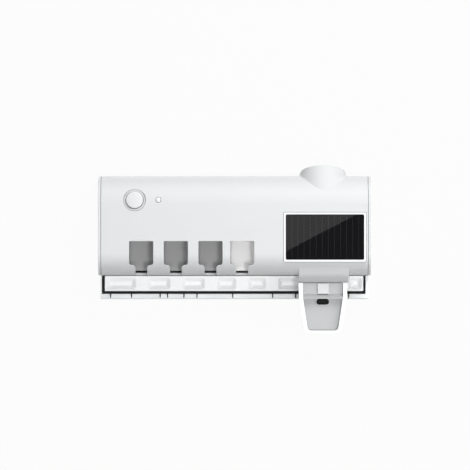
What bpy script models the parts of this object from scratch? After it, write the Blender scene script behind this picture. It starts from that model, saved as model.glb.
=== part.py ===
"""Wall-mounted UV toothbrush holder with a solar panel and a push-lever paste dispenser.

Metres, +Z up. The wall is the plane y = 0 and the front of the holder faces -Y. The origin
is the middle of the adhesive pad's back face. Heights below count from the housing's lower
edge, and one empty, named holder, moves everything down to the origin.
"""

import math

import bmesh
import bpy
from mathutils import Euler, Matrix, Vector

# General sizes
GAP = 0.0003
OVERRUN = 0.004
WELD = 0.00001
WALL = 0.0022
ARC_STEPS = 8
ROUND_STEPS = 40
SCREW_STEPS = 16
DOME_STEPS = 5
SMOOTH_ANGLE = math.radians(35)

# Wall bracket and its pad
PAD_SIDE_INSET = 0.005
PAD_TOP_INSET = 0.004
PAD_THICKNESS = 0.001
PAD_CORNER = 0.004
BRACKET_SIDE_INSET = 0.022
BRACKET_TOP_INSET = 0.011
BRACKET_THICKNESS = 0.0025
BRACKET_CORNER = 0.006
BRACKET_BOTTOM = 0.012
HOOK_SPACING_SHARE = 0.7
HOOK_WIDTH = 0.014
HOOK_BASE_BOTTOM = 0.052
HOOK_BASE_THICKNESS = 0.003
HOOK_TONGUE_HEIGHT = 0.010
HOOK_TONGUE_THICKNESS = 0.0025
LIFT = 0.011
SLOT_SIDE_CLEARANCE = 0.0004
SLOT_LOWER_CLEARANCE = 0.001

# Housing
HOUSING_WIDTH = 0.244
HOUSING_HEIGHT = 0.089
HOUSING_FRONT_Y = -0.062
TOP_ARC_RADIUS = 0.026
BOTTOM_ARC_RADIUS = 0.020
END_CAP_THICKNESS = 0.0022
END_CAP_EDGE = 0.0009
END_PLUG_DEPTH = 0.004
END_PLUG_CLEARANCE = 0.0004
END_PLUG_WALL = 0.0014

# Brush windows: three for brushes, one for a razor
BRUSH_WINDOW_SHARES = (-0.3422, -0.2152, -0.0881)
RAZOR_WINDOW_SHARE = 0.0279
WINDOW_WIDTH_SHARE = 0.0881
WINDOW_TOP_SHARE = 0.345
SHOULDER_Z = 0.0094
NECK_WIDTH_SHARE = 0.488
NECK_DEPTH = 0.026
NECK_BACK_ROUND_SHARE = 0.476
WINDOW_DEPTH = 0.008
WINDOW_TOP_CORNER = 0.0008
WINDOW_LOWER_CORNER = 0.0022
SHOULDER_ROUND = 0.0028

# Bay liners behind the windows
LINER_WALL = 0.0012
LINER_DEPTH = 0.0287
LINER_TOP_SHARE = 0.4854
LINER_SIDE_ROOM = 0.0010
LINER_BACK_CORNER = 0.002
BAY_BOTTOM = 0.0040
RAZOR_TAPER_LEFT = 0.0012
RAZOR_TAPER_RIGHT = 0.0030
LAMP_RADIUS = 0.0025
LAMP_DEPTH = 0.0085
LAMP_DROP = 0.0062
LAMP_CHANNEL = 0.0042
LAMP_STEPS = 20
LAMP_END_ROOM = 0.0170
LAMP_HOLDER_THICKNESS = 0.0032

# Solar panel
SOLAR_LEFT_SHARE = 0.1885
SOLAR_RIGHT_INSET = 0.0038
SOLAR_BOTTOM = 0.0143
SOLAR_TOP_INSET = 0.0346
SOLAR_CORNER = 0.0012
SOLAR_BORDER = 0.0012
SOLAR_BACKING_THICKNESS = 0.0008
SOLAR_CELL_THICKNESS = 0.0004
SOLAR_COVER_THICKNESS = 0.0006
SOLAR_BEZEL = 0.0016
SOLAR_BEZEL_PROUD = 0.0004
SOLAR_FLOOR = 0.0020
SOLAR_COVER_SUNK = 0.0001

# Power button, its switch, and the sensor window beside it
BUTTON_SHARE = -0.3664
BUTTON_TOP_INSET = 0.0213
BUTTON_TILT = math.radians(12)
BUTTON_RADIUS = 0.0077
BUTTON_PROUD = 0.0010
BUTTON_DOME = 0.0009
BUTTON_TRAVEL = 0.0008
BUTTON_STEM_RADIUS = 0.0022
BUTTON_STEM_END = 0.0062
BUTTON_HOLE_CLEARANCE = 0.0004
BUTTON_EDGE = 0.0008
BUTTON_RECESS_RADIUS = 0.0100
BUTTON_RECESS_DEPTH = 0.0026
BUTTON_BOSS_RADIUS = 0.0122
BUTTON_BOSS_DEPTH = 0.0046
BUTTON_RING_THICKNESS = 0.0009
BUTTON_FLANGE_RADIUS = 0.0090
BUTTON_FLANGE_THICKNESS = 0.0009
SWITCH_SIZE = 0.0060
SWITCH_HEIGHT = 0.0035
SWITCH_PLUNGER_RADIUS = 0.0017
SWITCH_PLUNGER_LENGTH = 0.0024
SWITCH_PLUNGER_OUT = 0.0013
BOARD_WIDTH = 0.056
BOARD_TOP = 0.008
BOARD_BOTTOM = -0.014
BOARD_THICKNESS = 0.0016
BOARD_LEFT = -0.016
BOARD_PILLAR_RADIUS = 0.0018
BOARD_PILLAR_TOP = 0.0020
BOARD_PILLAR_INSET = 0.0040
SENSOR_SPACING_SHARE = 0.0873
SENSOR_RADIUS = 0.00225
SENSOR_HOLE_CLEARANCE = 0.0003
SENSOR_PROUD = 0.0005
SENSOR_FLANGE_RADIUS = 0.0036
SENSOR_FLANGE_TOP = 0.0031
SENSOR_FLANGE_THICKNESS = 0.0010
SENSOR_STEPS = 24

# Paste socket: a leaning collar on the top of the housing
SOCKET_SHARE = 0.325
SOCKET_DEPTH_SHARE = 0.5677
SOCKET_LEAN = math.radians(9)
COLLAR_RADIUS = 0.0204
COLLAR_WALL = 0.0020
COLLAR_TOP = 0.014
COLLAR_SKIRT = 0.018
COLLAR_STEPS = 56
RIM_FRONT_RISE = 0.0103
RIM_SIDE_RISE = 0.0028
RIM_BACK_RISE = 0.0013
FUNNEL_CLEARANCE = 0.0003
FUNNEL_WALL = 0.0016
FUNNEL_TOP = -0.003
FUNNEL_SHOULDER = -0.014
FUNNEL_CONE_SHARE = 0.382
FUNNEL_SPOUT_SHARE = 0.4607
FUNNEL_SPOUT_RADIUS = 0.0045
FUNNEL_SPOUT_BORE = 0.0028
SEAL_THICKNESS = 0.0030
SEAL_BORE = 0.0085
SEAL_LIP = 0.0012

# Chin below the housing, over the lever
CHIN_LEFT_REACH = 0.0216
CHIN_RIGHT_REACH = 0.0231
CHIN_TOP = 0.0070
CHIN_BREAK_Z = -0.0005
CHIN_BOTTOM = -0.0064
CHIN_SLANT = math.radians(30)
CHIN_BACK_ROOM = 0.0060
CHIN_LIP = 0.0013
CHIN_BREAK_ROUND = 0.0120
CHIN_BACK_ROUND = 0.0020
MOUTH_FRONT_CLEARANCE = 0.0012
MOUTH_SWING_ROOM = 0.0090
MOUTH_SIDE_CLEARANCE = 0.0010

# Dispenser lever
LEVER_TOP_GAP = 0.0005
LEVER_TOP_HALF = 0.0220
LEVER_BEND_Z = -0.0210
LEVER_BEND_HALF = 0.0214
LEVER_BOTTOM = -0.0518
LEVER_BOTTOM_HALF = 0.0164
LEVER_BOTTOM_ROUND = 0.0050
LEVER_BEND_ROUND = 0.0120
LEVER_FRONT_Y = -0.0500
LEVER_DEPTH = 0.0090
LEVER_TOP_ROUND = 0.0008
BAND_HALF = 0.0180
BAND_DEPTH = 0.0048
BAND_BOTTOM = -0.0165
LEDGE_LIP = 0.0006
SCOOP_TOP = -0.0208
SCOOP_TOP_HALF = 0.0177
SCOOP_BOTTOM = -0.0494
SCOOP_BOTTOM_HALF = 0.0134
SCOOP_ROUND = 0.0034
SCOOP_DEPTH = 0.0060
LEVER_EDGE = 0.0005
RELIEF_DROP = 0.0024
RELIEF_DEPTH = 0.0030
ARM_HALF = 0.0172
ARM_THICKNESS = 0.0030
ARM_LAP = 0.0010
ARM_BOTTOM = -0.0120
PIVOT_Z = 0.0230
BARREL_RADIUS = 0.0040
BARREL_PROUD = 0.0003
PIN_RADIUS = 0.0015
PIN_CLEARANCE = 0.0003
OUTLET_Z = -0.0237
OUTLET_WIDTH = 0.0108
OUTLET_HEIGHT = 0.0046
OUTLET_OFFSET = -0.0002
OUTLET_SUNK = 0.0005
OUTLET_RING = 0.0012
OUTLET_RING_PROUD = 0.0008
OUTLET_SQUARE = 0.0001
OUTLET_FLANGE = 0.0010
DUCT_WIDTH = 0.0098
DUCT_HEIGHT = 0.0092
DUCT_THICKNESS = 0.0022
DUCT_OFFSET = 0.0003
DUCT_EDGE = 0.0005
DUCT_DROP = 0.0004

# Pump behind the lever
PUMP_RADIUS = 0.0066
PUMP_BORE = 0.0050
PUMP_SETBACK = 0.0110
PUMP_BORE_LENGTH = 0.0140
PUMP_PLATE_THICKNESS = 0.0026
PUMP_PLATE_EDGE = 0.0006
PUMP_PLATE_BOTTOM = 0.0030
PUMP_PLATE_TOP = 0.0220
CHEEK_THICKNESS = 0.0022
CHEEK_REACH = 0.0045
CHEEK_BOTTOM = 0.0170
CHEEK_TOP = 0.0290
CHEEK_SIDE_GAP = 0.0009
CHEEK_ROUND = 0.0040
CHIMNEY_END_ROOM = 0.0050
CHIMNEY_RADIUS = 0.0050
CHIMNEY_TOP = 0.0190
CHIMNEY_BORE = 0.0026
PLUNGER_HEAD_RADIUS = 0.0045
PLUNGER_HEAD_DOME = 0.0014
PLUNGER_HEAD_THICKNESS = 0.0012
PLUNGER_ROD_RADIUS = 0.0022
PISTON_CLEARANCE = 0.0003
PISTON_DEPTH = 0.0018
PISTON_LENGTH = 0.0030
SPRING_RADIUS = 0.0034
SPRING_WIRE = 0.00045
SPRING_TURNS = 3.5
SPRING_TURN_POINTS = 12
HOSE_RADIUS = 0.0033
HOSE_PULL_SHARE = 0.55
HOSE_STRAIGHT = 0.0040
HOSE_POINTS = 14
HOSE_RESOLUTION = 3

# Battery and charging socket
BATTERY_RADIUS = 0.0090
BATTERY_LENGTH = 0.0650
BATTERY_SHARE = 0.0164
BATTERY_Y = -0.0235
BATTERY_TOP_INSET = 0.0225
CRADLE_WALL = 0.0018
CRADLE_END = 0.0030
CRADLE_FLOOR_HALF = 0.0085
BATTERY_CONTACT_RADIUS = 0.0030
BATTERY_CONTACT_HEIGHT = 0.0008
BATTERY_EDGE = 0.0006
PORT_WIDTH = 0.0090
PORT_HEIGHT = 0.0034
PORT_DEPTH = 0.0072
PORT_WALL = 0.0004
PORT_Y = -0.0230
PORT_Z = 0.0200
PORT_CLEARANCE = 0.0003
PORT_SUNK = 0.0002
PORT_BLADE_INSET = 0.0012

# Rear shell with its apron below the housing
REAR_THICKNESS = 0.0022
REAR_SIDE_INSET = 0.0004
REAR_TOP_INSET = 0.0004
APRON_SIDE_INSET = 0.0014
APRON_LEFT_WALL = 0.0011
APRON_RIGHT_WALL = 0.0025
APRON_BOTTOM = -0.0216
APRON_LIP_TOP = -0.0169
APRON_FRONT_Y = -0.0200
APRON_CORNER = 0.0016
APRON_END_TOP = -0.0006
TAB_WIDTH = 0.022
TAB_THICKNESS = 0.0016
TAB_LENGTH = 0.0060
TAB_SPACING_SHARE = 0.254
POST_SIDE_INSET = 0.0075
POST_INSET = 0.0052
POST_RADIUS = 0.0034
POST_LENGTH = 0.0200
SCREW_SHANK_RADIUS = 0.0012
SCREW_HEAD_RADIUS = 0.0028
SCREW_HEAD_HEIGHT = 0.0013
SCREW_LENGTH = 0.0120
SCREW_CLEARANCE = 0.0003
HEX_RADIUS = 0.0012
HEX_SIDES = 6
HEX_DEPTH = 0.0008

# Neck rest panel and the black trim around it
PANEL_TOP = -0.0006
PANEL_BOTTOM = -0.0144
PANEL_THICKNESS = 0.0040
POCKET_DEPTH = 0.0024
POCKET_TOP = -0.0020
POCKET_BOTTOM = -0.0132
POCKET_CORNER = 0.0030
POCKET_EDGE = 0.0012
RIB_WIDTH = 0.0102
EXTRA_RIB_SHARES = (0.1385, 0.2709, 0.4025)
TRIM_LEFT_WIDTH = 0.0019
TRIM_RIGHT_WIDTH = 0.0013
TRIM_BOTTOM = -0.0166
TRIM_PROUD = 0.0007
TRIM_DEPTH = 0.0030
TICK_WIDTH = 0.0011
TICK_BOTTOM = -0.0206
TICK_SHARES = (-0.4578, -0.3803, -0.2746, -0.2471, -0.1869, -0.1385, -0.0066, 0.141, 0.2254, 0.4221)

FRONT_VIEW = Euler((math.radians(90), 0, 0)).to_matrix().to_4x4()
SIDE_VIEW = Euler((math.radians(90), 0, math.radians(90))).to_matrix().to_4x4()
TOWARDS_WALL = Euler((math.radians(-90), 0, 0)).to_matrix().to_4x4()
ALONG_X = Euler((0, math.radians(90), 0)).to_matrix().to_4x4()

# Places and sizes that follow from the ones above
BRACKET_WIDTH = HOUSING_WIDTH - 2 * BRACKET_SIDE_INSET
BRACKET_HEIGHT = HOUSING_HEIGHT - BRACKET_BOTTOM - BRACKET_TOP_INSET
PAD_WIDTH = BRACKET_WIDTH - 2 * PAD_SIDE_INSET
PAD_HEIGHT = BRACKET_HEIGHT - 2 * PAD_TOP_INSET
HOOK_SPACING = BRACKET_WIDTH * HOOK_SPACING_SHARE
MOUNT_HEIGHT = BRACKET_BOTTOM + BRACKET_HEIGHT / 2
BRACKET_BACK_Y = -(PAD_THICKNESS + GAP)
BRACKET_FRONT_Y = BRACKET_BACK_Y - BRACKET_THICKNESS
REAR_BACK_Y = BRACKET_FRONT_Y - GAP
REAR_FRONT_Y = REAR_BACK_Y - REAR_THICKNESS
HOUSING_BACK_Y = REAR_FRONT_Y - GAP
HOUSING_HALF = HOUSING_WIDTH / 2 - END_CAP_THICKNESS - GAP
BRUSH_WINDOW_XS = [share * HOUSING_WIDTH for share in BRUSH_WINDOW_SHARES]
RAZOR_WINDOW_X = RAZOR_WINDOW_SHARE * HOUSING_WIDTH
WINDOW_WIDTH = WINDOW_WIDTH_SHARE * HOUSING_WIDTH
WINDOW_TOP = WINDOW_TOP_SHARE * HOUSING_HEIGHT
WINDOW_BACK_Y = HOUSING_FRONT_Y + WINDOW_DEPTH
NECK_WIDTH = NECK_WIDTH_SHARE * WINDOW_WIDTH
NECK_BACK_ROUND = NECK_BACK_ROUND_SHARE * NECK_WIDTH
NECK_BACK_Y = HOUSING_FRONT_Y + NECK_DEPTH
LINER_BACK_Y = HOUSING_FRONT_Y + LINER_DEPTH
LINER_TOP = LINER_TOP_SHARE * HOUSING_HEIGHT
LAMP_Y = HOUSING_FRONT_Y + LAMP_DEPTH
LAMP_Z = LINER_TOP - LAMP_DROP
SOLAR_LEFT = SOLAR_LEFT_SHARE * HOUSING_WIDTH
SOLAR_RIGHT = HOUSING_HALF - SOLAR_RIGHT_INSET
SOLAR_TOP = HOUSING_HEIGHT - SOLAR_TOP_INSET
SOLAR_RECESS_Y = (HOUSING_FRONT_Y - SOLAR_BEZEL_PROUD + SOLAR_COVER_SUNK + SOLAR_COVER_THICKNESS
                  + SOLAR_CELL_THICKNESS + SOLAR_BACKING_THICKNESS + 3 * GAP)
BUTTON_X = BUTTON_SHARE * HOUSING_WIDTH
BUTTON_Z = HOUSING_HEIGHT - BUTTON_TOP_INSET
BUTTON_Y = (HOUSING_FRONT_Y + TOP_ARC_RADIUS
            - math.sqrt(TOP_ARC_RADIUS ** 2 - (TOP_ARC_RADIUS - BUTTON_TOP_INSET) ** 2))
SENSOR_X = BUTTON_X + SENSOR_SPACING_SHARE * HOUSING_WIDTH
BATTERY_X = BATTERY_SHARE * HOUSING_WIDTH
BATTERY_Z = HOUSING_HEIGHT - BATTERY_TOP_INSET
SOCKET_X = SOCKET_SHARE * HOUSING_WIDTH
SOCKET_Y = SOCKET_DEPTH_SHARE * HOUSING_FRONT_Y
SOCKET_BORE = COLLAR_RADIUS - COLLAR_WALL
FUNNEL_RADIUS = SOCKET_BORE - FUNNEL_CLEARANCE
FUNNEL_CONE_END = -FUNNEL_CONE_SHARE * HOUSING_HEIGHT
FUNNEL_SPOUT_END = -FUNNEL_SPOUT_SHARE * HOUSING_HEIGHT
LEVER_X = SOCKET_X
LEVER_TOP = CHIN_BOTTOM - LEVER_TOP_GAP
LEVER_BACK_Y = LEVER_FRONT_Y + LEVER_DEPTH
BAND_FACE_Y = LEVER_FRONT_Y + BAND_DEPTH
SCOOP_FACE_Y = LEVER_FRONT_Y + SCOOP_DEPTH
OUTLET_X = LEVER_X + OUTLET_OFFSET
ARM_FRONT_Y = LEVER_BACK_Y - ARM_LAP
ARM_BACK_Y = ARM_FRONT_Y + ARM_THICKNESS
PIVOT_Y = (ARM_FRONT_Y + ARM_BACK_Y) / 2
MOUTH_FRONT_Y = ARM_FRONT_Y - MOUTH_FRONT_CLEARANCE
MOUTH_BACK_Y = ARM_BACK_Y + MOUTH_SWING_ROOM
CHIN_LEFT = LEVER_X - CHIN_LEFT_REACH
CHIN_RIGHT = LEVER_X + CHIN_RIGHT_REACH
CHIN_LIP_Y = MOUTH_FRONT_Y - CHIN_LIP
CHIN_BACK_Y = MOUTH_BACK_Y + CHIN_BACK_ROOM
CHEEK_FRONT_Y = PIVOT_Y - CHEEK_REACH
PUMP_FRONT_Y = ARM_BACK_Y + PUMP_SETBACK
PUMP_BORE_END_Y = PUMP_FRONT_Y + PUMP_BORE_LENGTH
PUMP_Z = WALL + GAP + PUMP_RADIUS
CHIMNEY_Y = PUMP_BORE_END_Y - CHIMNEY_END_ROOM
PISTON_FRONT_Y = PUMP_FRONT_Y + PISTON_DEPTH
PLUNGER_TIP_Y = ARM_BACK_Y + GAP
REAR_WIDTH = HOUSING_WIDTH - 2 * REAR_SIDE_INSET
APRON_HALF = HOUSING_WIDTH / 2 - APRON_SIDE_INSET
TAB_SPACING = TAB_SPACING_SHARE * HOUSING_WIDTH
POST_X = HOUSING_HALF - POST_SIDE_INSET
TRIM_LEFT = -APRON_HALF + APRON_LEFT_WALL + GAP
TRIM_RIGHT = APRON_HALF - APRON_RIGHT_WALL - GAP
PANEL_LEFT = TRIM_LEFT + TRIM_LEFT_WIDTH + GAP
PANEL_RIGHT = TRIM_RIGHT - TRIM_RIGHT_WIDTH - GAP


def clear_scene():
    for obj in list(bpy.data.objects):
        bpy.data.objects.remove(obj, do_unlink=True)


def new_collection(name):
    collection = bpy.data.collections.new(name)
    bpy.context.scene.collection.children.link(collection)
    return collection


def plastic(name, colour, roughness, metallic=0.0, alpha=1.0):
    material = bpy.data.materials.new(name)
    material.use_nodes = True
    shader = material.node_tree.nodes["Principled BSDF"]
    shader.inputs["Base Color"].default_value = (*colour, 1.0)
    shader.inputs["Roughness"].default_value = roughness
    shader.inputs["Metallic"].default_value = metallic
    shader.inputs["Alpha"].default_value = alpha
    return material


def place(x=0.0, y=0.0, z=0.0, turn=None):
    """A matrix that turns a shape and then moves its origin to x, y, z."""
    return Matrix.Translation((x, y, z)) @ (turn if turn is not None else Matrix.Identity(4))


def rounded(corners):
    """The points of an outline whose corners (u, v, radius) are rounded by short arcs."""
    points = []
    for index, (u, v, radius) in enumerate(corners):
        corner = Vector((u, v))
        if radius == 0:
            points.append(corner)
            continue
        before = (Vector(corners[index - 1][:2]) - corner).normalized()
        after = (Vector(corners[(index + 1) % len(corners)][:2]) - corner).normalized()
        half_angle = before.angle(after) / 2
        reach = radius / math.tan(half_angle)
        centre = corner + (before + after).normalized() * radius / math.sin(half_angle)
        start = corner + before * reach - centre
        end = corner + after * reach - centre
        turn = start.angle_signed(end)
        steps = max(2, round(ARC_STEPS * abs(turn) / (math.pi / 2)))
        for step in range(steps + 1):
            angle = -turn * step / steps
            points.append(centre + Matrix.Rotation(angle, 2) @ start)
    return points


def inset(corners, distance):
    """The same outline, listed anticlockwise, moved inwards by a distance, its roundings following."""
    moved = []
    for index, (u, v, radius) in enumerate(corners):
        corner = Vector((u, v))
        along_in = (corner - Vector(corners[index - 1][:2])).normalized()
        along_out = (Vector(corners[(index + 1) % len(corners)][:2]) - corner).normalized()
        inward_in = Vector((-along_in.y, along_in.x))
        inward_out = Vector((-along_out.y, along_out.x))
        middle = (inward_in + inward_out).normalized()
        shift = middle * distance / middle.dot(inward_in)
        convex = along_in.cross(along_out) > 0
        new_radius = max(0.0, radius - distance if convex else radius + distance) if radius else 0
        moved.append((u + shift.x, v + shift.y, new_radius))
    return moved


def extruded(name, points, low, high, view):
    """A mesh object of a flat outline, extruded from low to high along the view's third axis."""
    curve = bpy.data.curves.new(name, "CURVE")
    curve.dimensions = "2D"
    curve.fill_mode = "BOTH"
    curve.extrude = (high - low) / 2
    spline = curve.splines.new("POLY")
    spline.points.add(len(points) - 1)
    for point, (u, v) in zip(spline.points, points):
        point.co = (u, v, 0, 1)
    spline.use_cyclic_u = True
    guide = bpy.data.objects.new(name + "_outline", curve)
    bpy.context.scene.collection.objects.link(guide)
    bpy.context.view_layer.update()
    mesh = bpy.data.meshes.new_from_object(guide.evaluated_get(bpy.context.evaluated_depsgraph_get()))
    bpy.data.objects.remove(guide)
    form = bmesh.new()
    form.from_mesh(mesh)
    bmesh.ops.remove_doubles(form, verts=form.verts, dist=WELD)
    bmesh.ops.recalc_face_normals(form, faces=form.faces)
    form.transform(view @ Matrix.Translation((0, 0, (low + high) / 2)))
    form.to_mesh(mesh)
    form.free()
    return bpy.data.objects.new(name, mesh)


def front_plate(name, points, front_y, back_y):
    """An outline in X and Z, extruded from front_y back to back_y."""
    return extruded(name, points, -back_y, -front_y, FRONT_VIEW)


def side_plate(name, points, left_x, right_x):
    """An outline in Y and Z, extruded from left_x to right_x."""
    return extruded(name, points, left_x, right_x, SIDE_VIEW)


def box(name, low, high):
    mesh = bpy.data.meshes.new(name)
    form = bmesh.new()
    bmesh.ops.create_cube(form, size=1)
    size = Vector(high) - Vector(low)
    middle = (Vector(high) + Vector(low)) / 2
    form.transform(Matrix.Translation(middle) @ Matrix.Diagonal((*size, 1)))
    form.to_mesh(mesh)
    form.free()
    return bpy.data.objects.new(name, mesh)


def cylinder(name, radius, length, where, steps=ROUND_STEPS):
    """A cylinder whose axis runs along local Z from 0 to length, put where the matrix says."""
    mesh = bpy.data.meshes.new(name)
    form = bmesh.new()
    bmesh.ops.create_cone(form, cap_ends=True, segments=steps, radius1=radius, radius2=radius, depth=length)
    form.transform(where @ Matrix.Translation((0, 0, length / 2)))
    form.to_mesh(mesh)
    form.free()
    return bpy.data.objects.new(name, mesh)


def turned(name, profile, where, steps=ROUND_STEPS, closed=False):
    """A profile of (radius, height) points, listed down its outer side, turned about local Z."""
    mesh = bpy.data.meshes.new(name)
    count = len(profile)
    edges = [(index, index + 1) for index in range(count - 1)]
    if closed:
        edges.append((count - 1, 0))
    mesh.from_pydata([(radius, 0, height) for radius, height in profile], edges, [])
    obj = bpy.data.objects.new(name, mesh)
    screw = obj.modifiers.new("turn", "SCREW")
    screw.steps = steps
    screw.render_steps = steps
    screw.use_merge_vertices = True
    screw.merge_threshold = WELD
    obj.matrix_world = where
    return obj


def combine(base, others, operation):
    """Joins other shapes to a base, or cuts them from it, with one Boolean each."""
    for other in others:
        hide(other)
        boolean = base.modifiers.new(operation.lower(), "BOOLEAN")
        boolean.operation = operation
        boolean.solver = "EXACT"
        boolean.object = other
    return base


def join(base, *others):
    return combine(base, others, "UNION")


def cut(base, *others):
    return combine(base, others, "DIFFERENCE")


def hide(helper):
    """Keeps a shape that only joins, cuts or limits another one out of sight."""
    helper.hide_render = True
    helper.display_type = "WIRE"
    helper.parent = HOLDER
    CUTTERS.objects.link(helper)


def round_edges(obj, width, angle=math.radians(50), segments=2):
    bevel = obj.modifiers.new("round", "BEVEL")
    bevel.width = width
    bevel.segments = segments
    bevel.limit_method = "ANGLE"
    bevel.angle_limit = angle
    return obj


def finish(obj, material, joint=None):
    """Applies a part's modifiers, shades it smooth, and hangs it on the holder or on a joint's empty."""
    PARTS.objects.link(obj)
    obj.parent = HOLDER
    if obj.modifiers:
        bpy.context.view_layer.update()
        graph = bpy.context.evaluated_depsgraph_get()
        obj.data = bpy.data.meshes.new_from_object(obj.evaluated_get(graph))
        obj.data.name = obj.name
        obj.modifiers.clear()
    obj.data.materials.clear()
    obj.data.materials.append(material)
    if obj.type == "MESH":
        obj.data.shade_smooth()
        obj.data.set_sharp_from_angle(angle=SMOOTH_ANGLE)
    if joint is not None:
        obj.parent = joint
        obj.matrix_parent_inverse = joint.matrix_basis.inverted()
    return obj


def frame_empty(name, where, parent=None):
    empty = bpy.data.objects.new(name, None)
    empty.matrix_world = where
    empty.parent = parent
    PARTS.objects.link(empty)
    return empty


def housing_corners():
    """The D-shaped side outline of the housing in Y and Z, anticlockwise from its back lower corner."""
    return [
        (HOUSING_BACK_Y, 0, 0),
        (HOUSING_BACK_Y, HOUSING_HEIGHT, 0),
        (HOUSING_FRONT_Y, HOUSING_HEIGHT, TOP_ARC_RADIUS),
        (HOUSING_FRONT_Y, 0, BOTTOM_ARC_RADIUS),
    ]


def chin_corners():
    """The side outline of the chin, which leaves the lower arc and curls under over the lever."""
    arc_centre_y = HOUSING_FRONT_Y + BOTTOM_ARC_RADIUS
    start_y = arc_centre_y - math.sqrt(BOTTOM_ARC_RADIUS ** 2 - (BOTTOM_ARC_RADIUS - CHIN_TOP) ** 2)
    break_y = start_y + (CHIN_TOP - CHIN_BREAK_Z) * math.tan(CHIN_SLANT)
    return [
        (CHIN_BACK_Y, WALL / 2, 0),
        (start_y + WALL, CHIN_TOP + WALL, 0),
        (start_y, CHIN_TOP, 0),
        (break_y, CHIN_BREAK_Z, CHIN_BREAK_ROUND),
        (CHIN_LIP_Y, CHIN_BOTTOM, 0),
        (CHIN_BACK_Y, CHIN_BOTTOM, CHIN_BACK_ROUND),
    ]


def window_corners(x):
    """A window in X and Z: a rounded square that narrows to a neck slot through the lower edge."""
    left = x - WINDOW_WIDTH / 2
    right = x + WINDOW_WIDTH / 2
    neck_left = x - NECK_WIDTH / 2
    neck_right = x + NECK_WIDTH / 2
    return [
        (neck_left, -OVERRUN, 0),
        (neck_right, -OVERRUN, 0),
        (neck_right, SHOULDER_Z, SHOULDER_ROUND),
        (right, SHOULDER_Z, WINDOW_LOWER_CORNER),
        (right, WINDOW_TOP, WINDOW_TOP_CORNER),
        (left, WINDOW_TOP, WINDOW_TOP_CORNER),
        (left, SHOULDER_Z, WINDOW_LOWER_CORNER),
        (neck_left, SHOULDER_Z, SHOULDER_ROUND),
    ]


def rectangle(left, bottom, right, top, radius=0.0):
    return [(left, bottom, radius), (right, bottom, radius), (right, top, radius), (left, top, radius)]


def window_cutters(x):
    opening = front_plate("window", rounded(window_corners(x)), HOUSING_FRONT_Y - OVERRUN, WINDOW_BACK_Y)
    slot = rounded([
        (x - NECK_WIDTH / 2, HOUSING_FRONT_Y - OVERRUN, 0),
        (x + NECK_WIDTH / 2, HOUSING_FRONT_Y - OVERRUN, 0),
        (x + NECK_WIDTH / 2, NECK_BACK_Y, NECK_BACK_ROUND),
        (x - NECK_WIDTH / 2, NECK_BACK_Y, NECK_BACK_ROUND),
    ])
    return [opening, extruded("neck_slot", slot, -OVERRUN, SHOULDER_Z, Matrix.Identity(4))]


def socket_frame():
    """Where the paste socket's axis leaves the top of the housing, leaning back towards the wall."""
    return place(SOCKET_X, SOCKET_Y, HOUSING_HEIGHT, Matrix.Rotation(-SOCKET_LEAN, 4, "X"))


def button_frame(x):
    """A frame on the upper front of the housing whose Z axis points out of the surface."""
    return place(x, BUTTON_Y, BUTTON_Z, Matrix.Rotation(math.radians(90) - BUTTON_TILT, 4, "X"))


def at_depth(frame, depth):
    return frame @ Matrix.Translation((0, 0, -depth))


def collar_rim_cutter():
    """What stands above the collar's rim: it falls backwards from the front, then runs level."""
    front_y = SOCKET_Y - COLLAR_RADIUS
    slope = (RIM_FRONT_RISE - RIM_SIDE_RISE) / COLLAR_RADIUS
    level_y = SOCKET_Y + (RIM_SIDE_RISE - RIM_BACK_RISE) / slope
    ahead_y = front_y - OVERRUN
    behind_y = SOCKET_Y + 2 * COLLAR_RADIUS
    rim_back = HOUSING_HEIGHT + RIM_BACK_RISE
    rim_front = HOUSING_HEIGHT + RIM_FRONT_RISE
    above = rim_front + 2 * COLLAR_TOP
    return side_plate("above_rim", rounded([
        (behind_y, rim_back, 0),
        (behind_y, above, 0),
        (ahead_y, above, 0),
        (ahead_y, rim_front + slope * (front_y - ahead_y), 0),
        (level_y, rim_back, 0),
    ]), SOCKET_X - 2 * COLLAR_RADIUS, SOCKET_X + 2 * COLLAR_RADIUS)


def chin_cavity():
    inner = inset(chin_corners(), WALL)
    top = CHIN_TOP + 2 * WALL
    corners = [(inner[5][0], top, 0), (inner[3][0], top, 0), inner[2], inner[3], inner[4], inner[5]]
    return side_plate("chin_cavity", rounded(corners), CHIN_LEFT + WALL, CHIN_RIGHT - WALL)


def chin_mouth():
    """The slot in the chin's underside through which the lever's arm swings."""
    half = ARM_HALF + MOUTH_SIDE_CLEARANCE
    return box(
        "chin_mouth",
        (LEVER_X - half, MOUTH_FRONT_Y, CHIN_BOTTOM - OVERRUN),
        (LEVER_X + half, MOUTH_BACK_Y, CHIN_BOTTOM + WALL + OVERRUN),
    )


def solar_outline(margin, radius):
    return rounded(rectangle(
        SOLAR_LEFT - margin, SOLAR_BOTTOM - margin, SOLAR_RIGHT + margin, SOLAR_TOP + margin, radius))


def solar_seat_block(room):
    """The thicker part of the front wall behind the solar panel, with some room around it."""
    margin = 2 * GAP + SOLAR_BEZEL + WALL + room
    return front_plate(
        "solar_seat",
        rounded(rectangle(SOLAR_LEFT - margin, SOLAR_BOTTOM - margin, HOUSING_HALF + room, SOLAR_TOP + margin)),
        HOUSING_FRONT_Y + WALL / 2 - room, SOLAR_RECESS_Y + SOLAR_FLOOR + room)


def post_places():
    return [(x, z) for x in (-POST_X, POST_X) for z in (POST_INSET, HOUSING_HEIGHT - POST_INSET)]


def pillar_places():
    left = BOARD_LEFT + BOARD_PILLAR_INSET
    right = BOARD_LEFT + BOARD_WIDTH - BOARD_PILLAR_INSET
    bottom = BOARD_BOTTOM + BOARD_PILLAR_INSET
    return [(left, bottom), (right, bottom), (right, BOARD_TOP - BOARD_PILLAR_INSET)]


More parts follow.
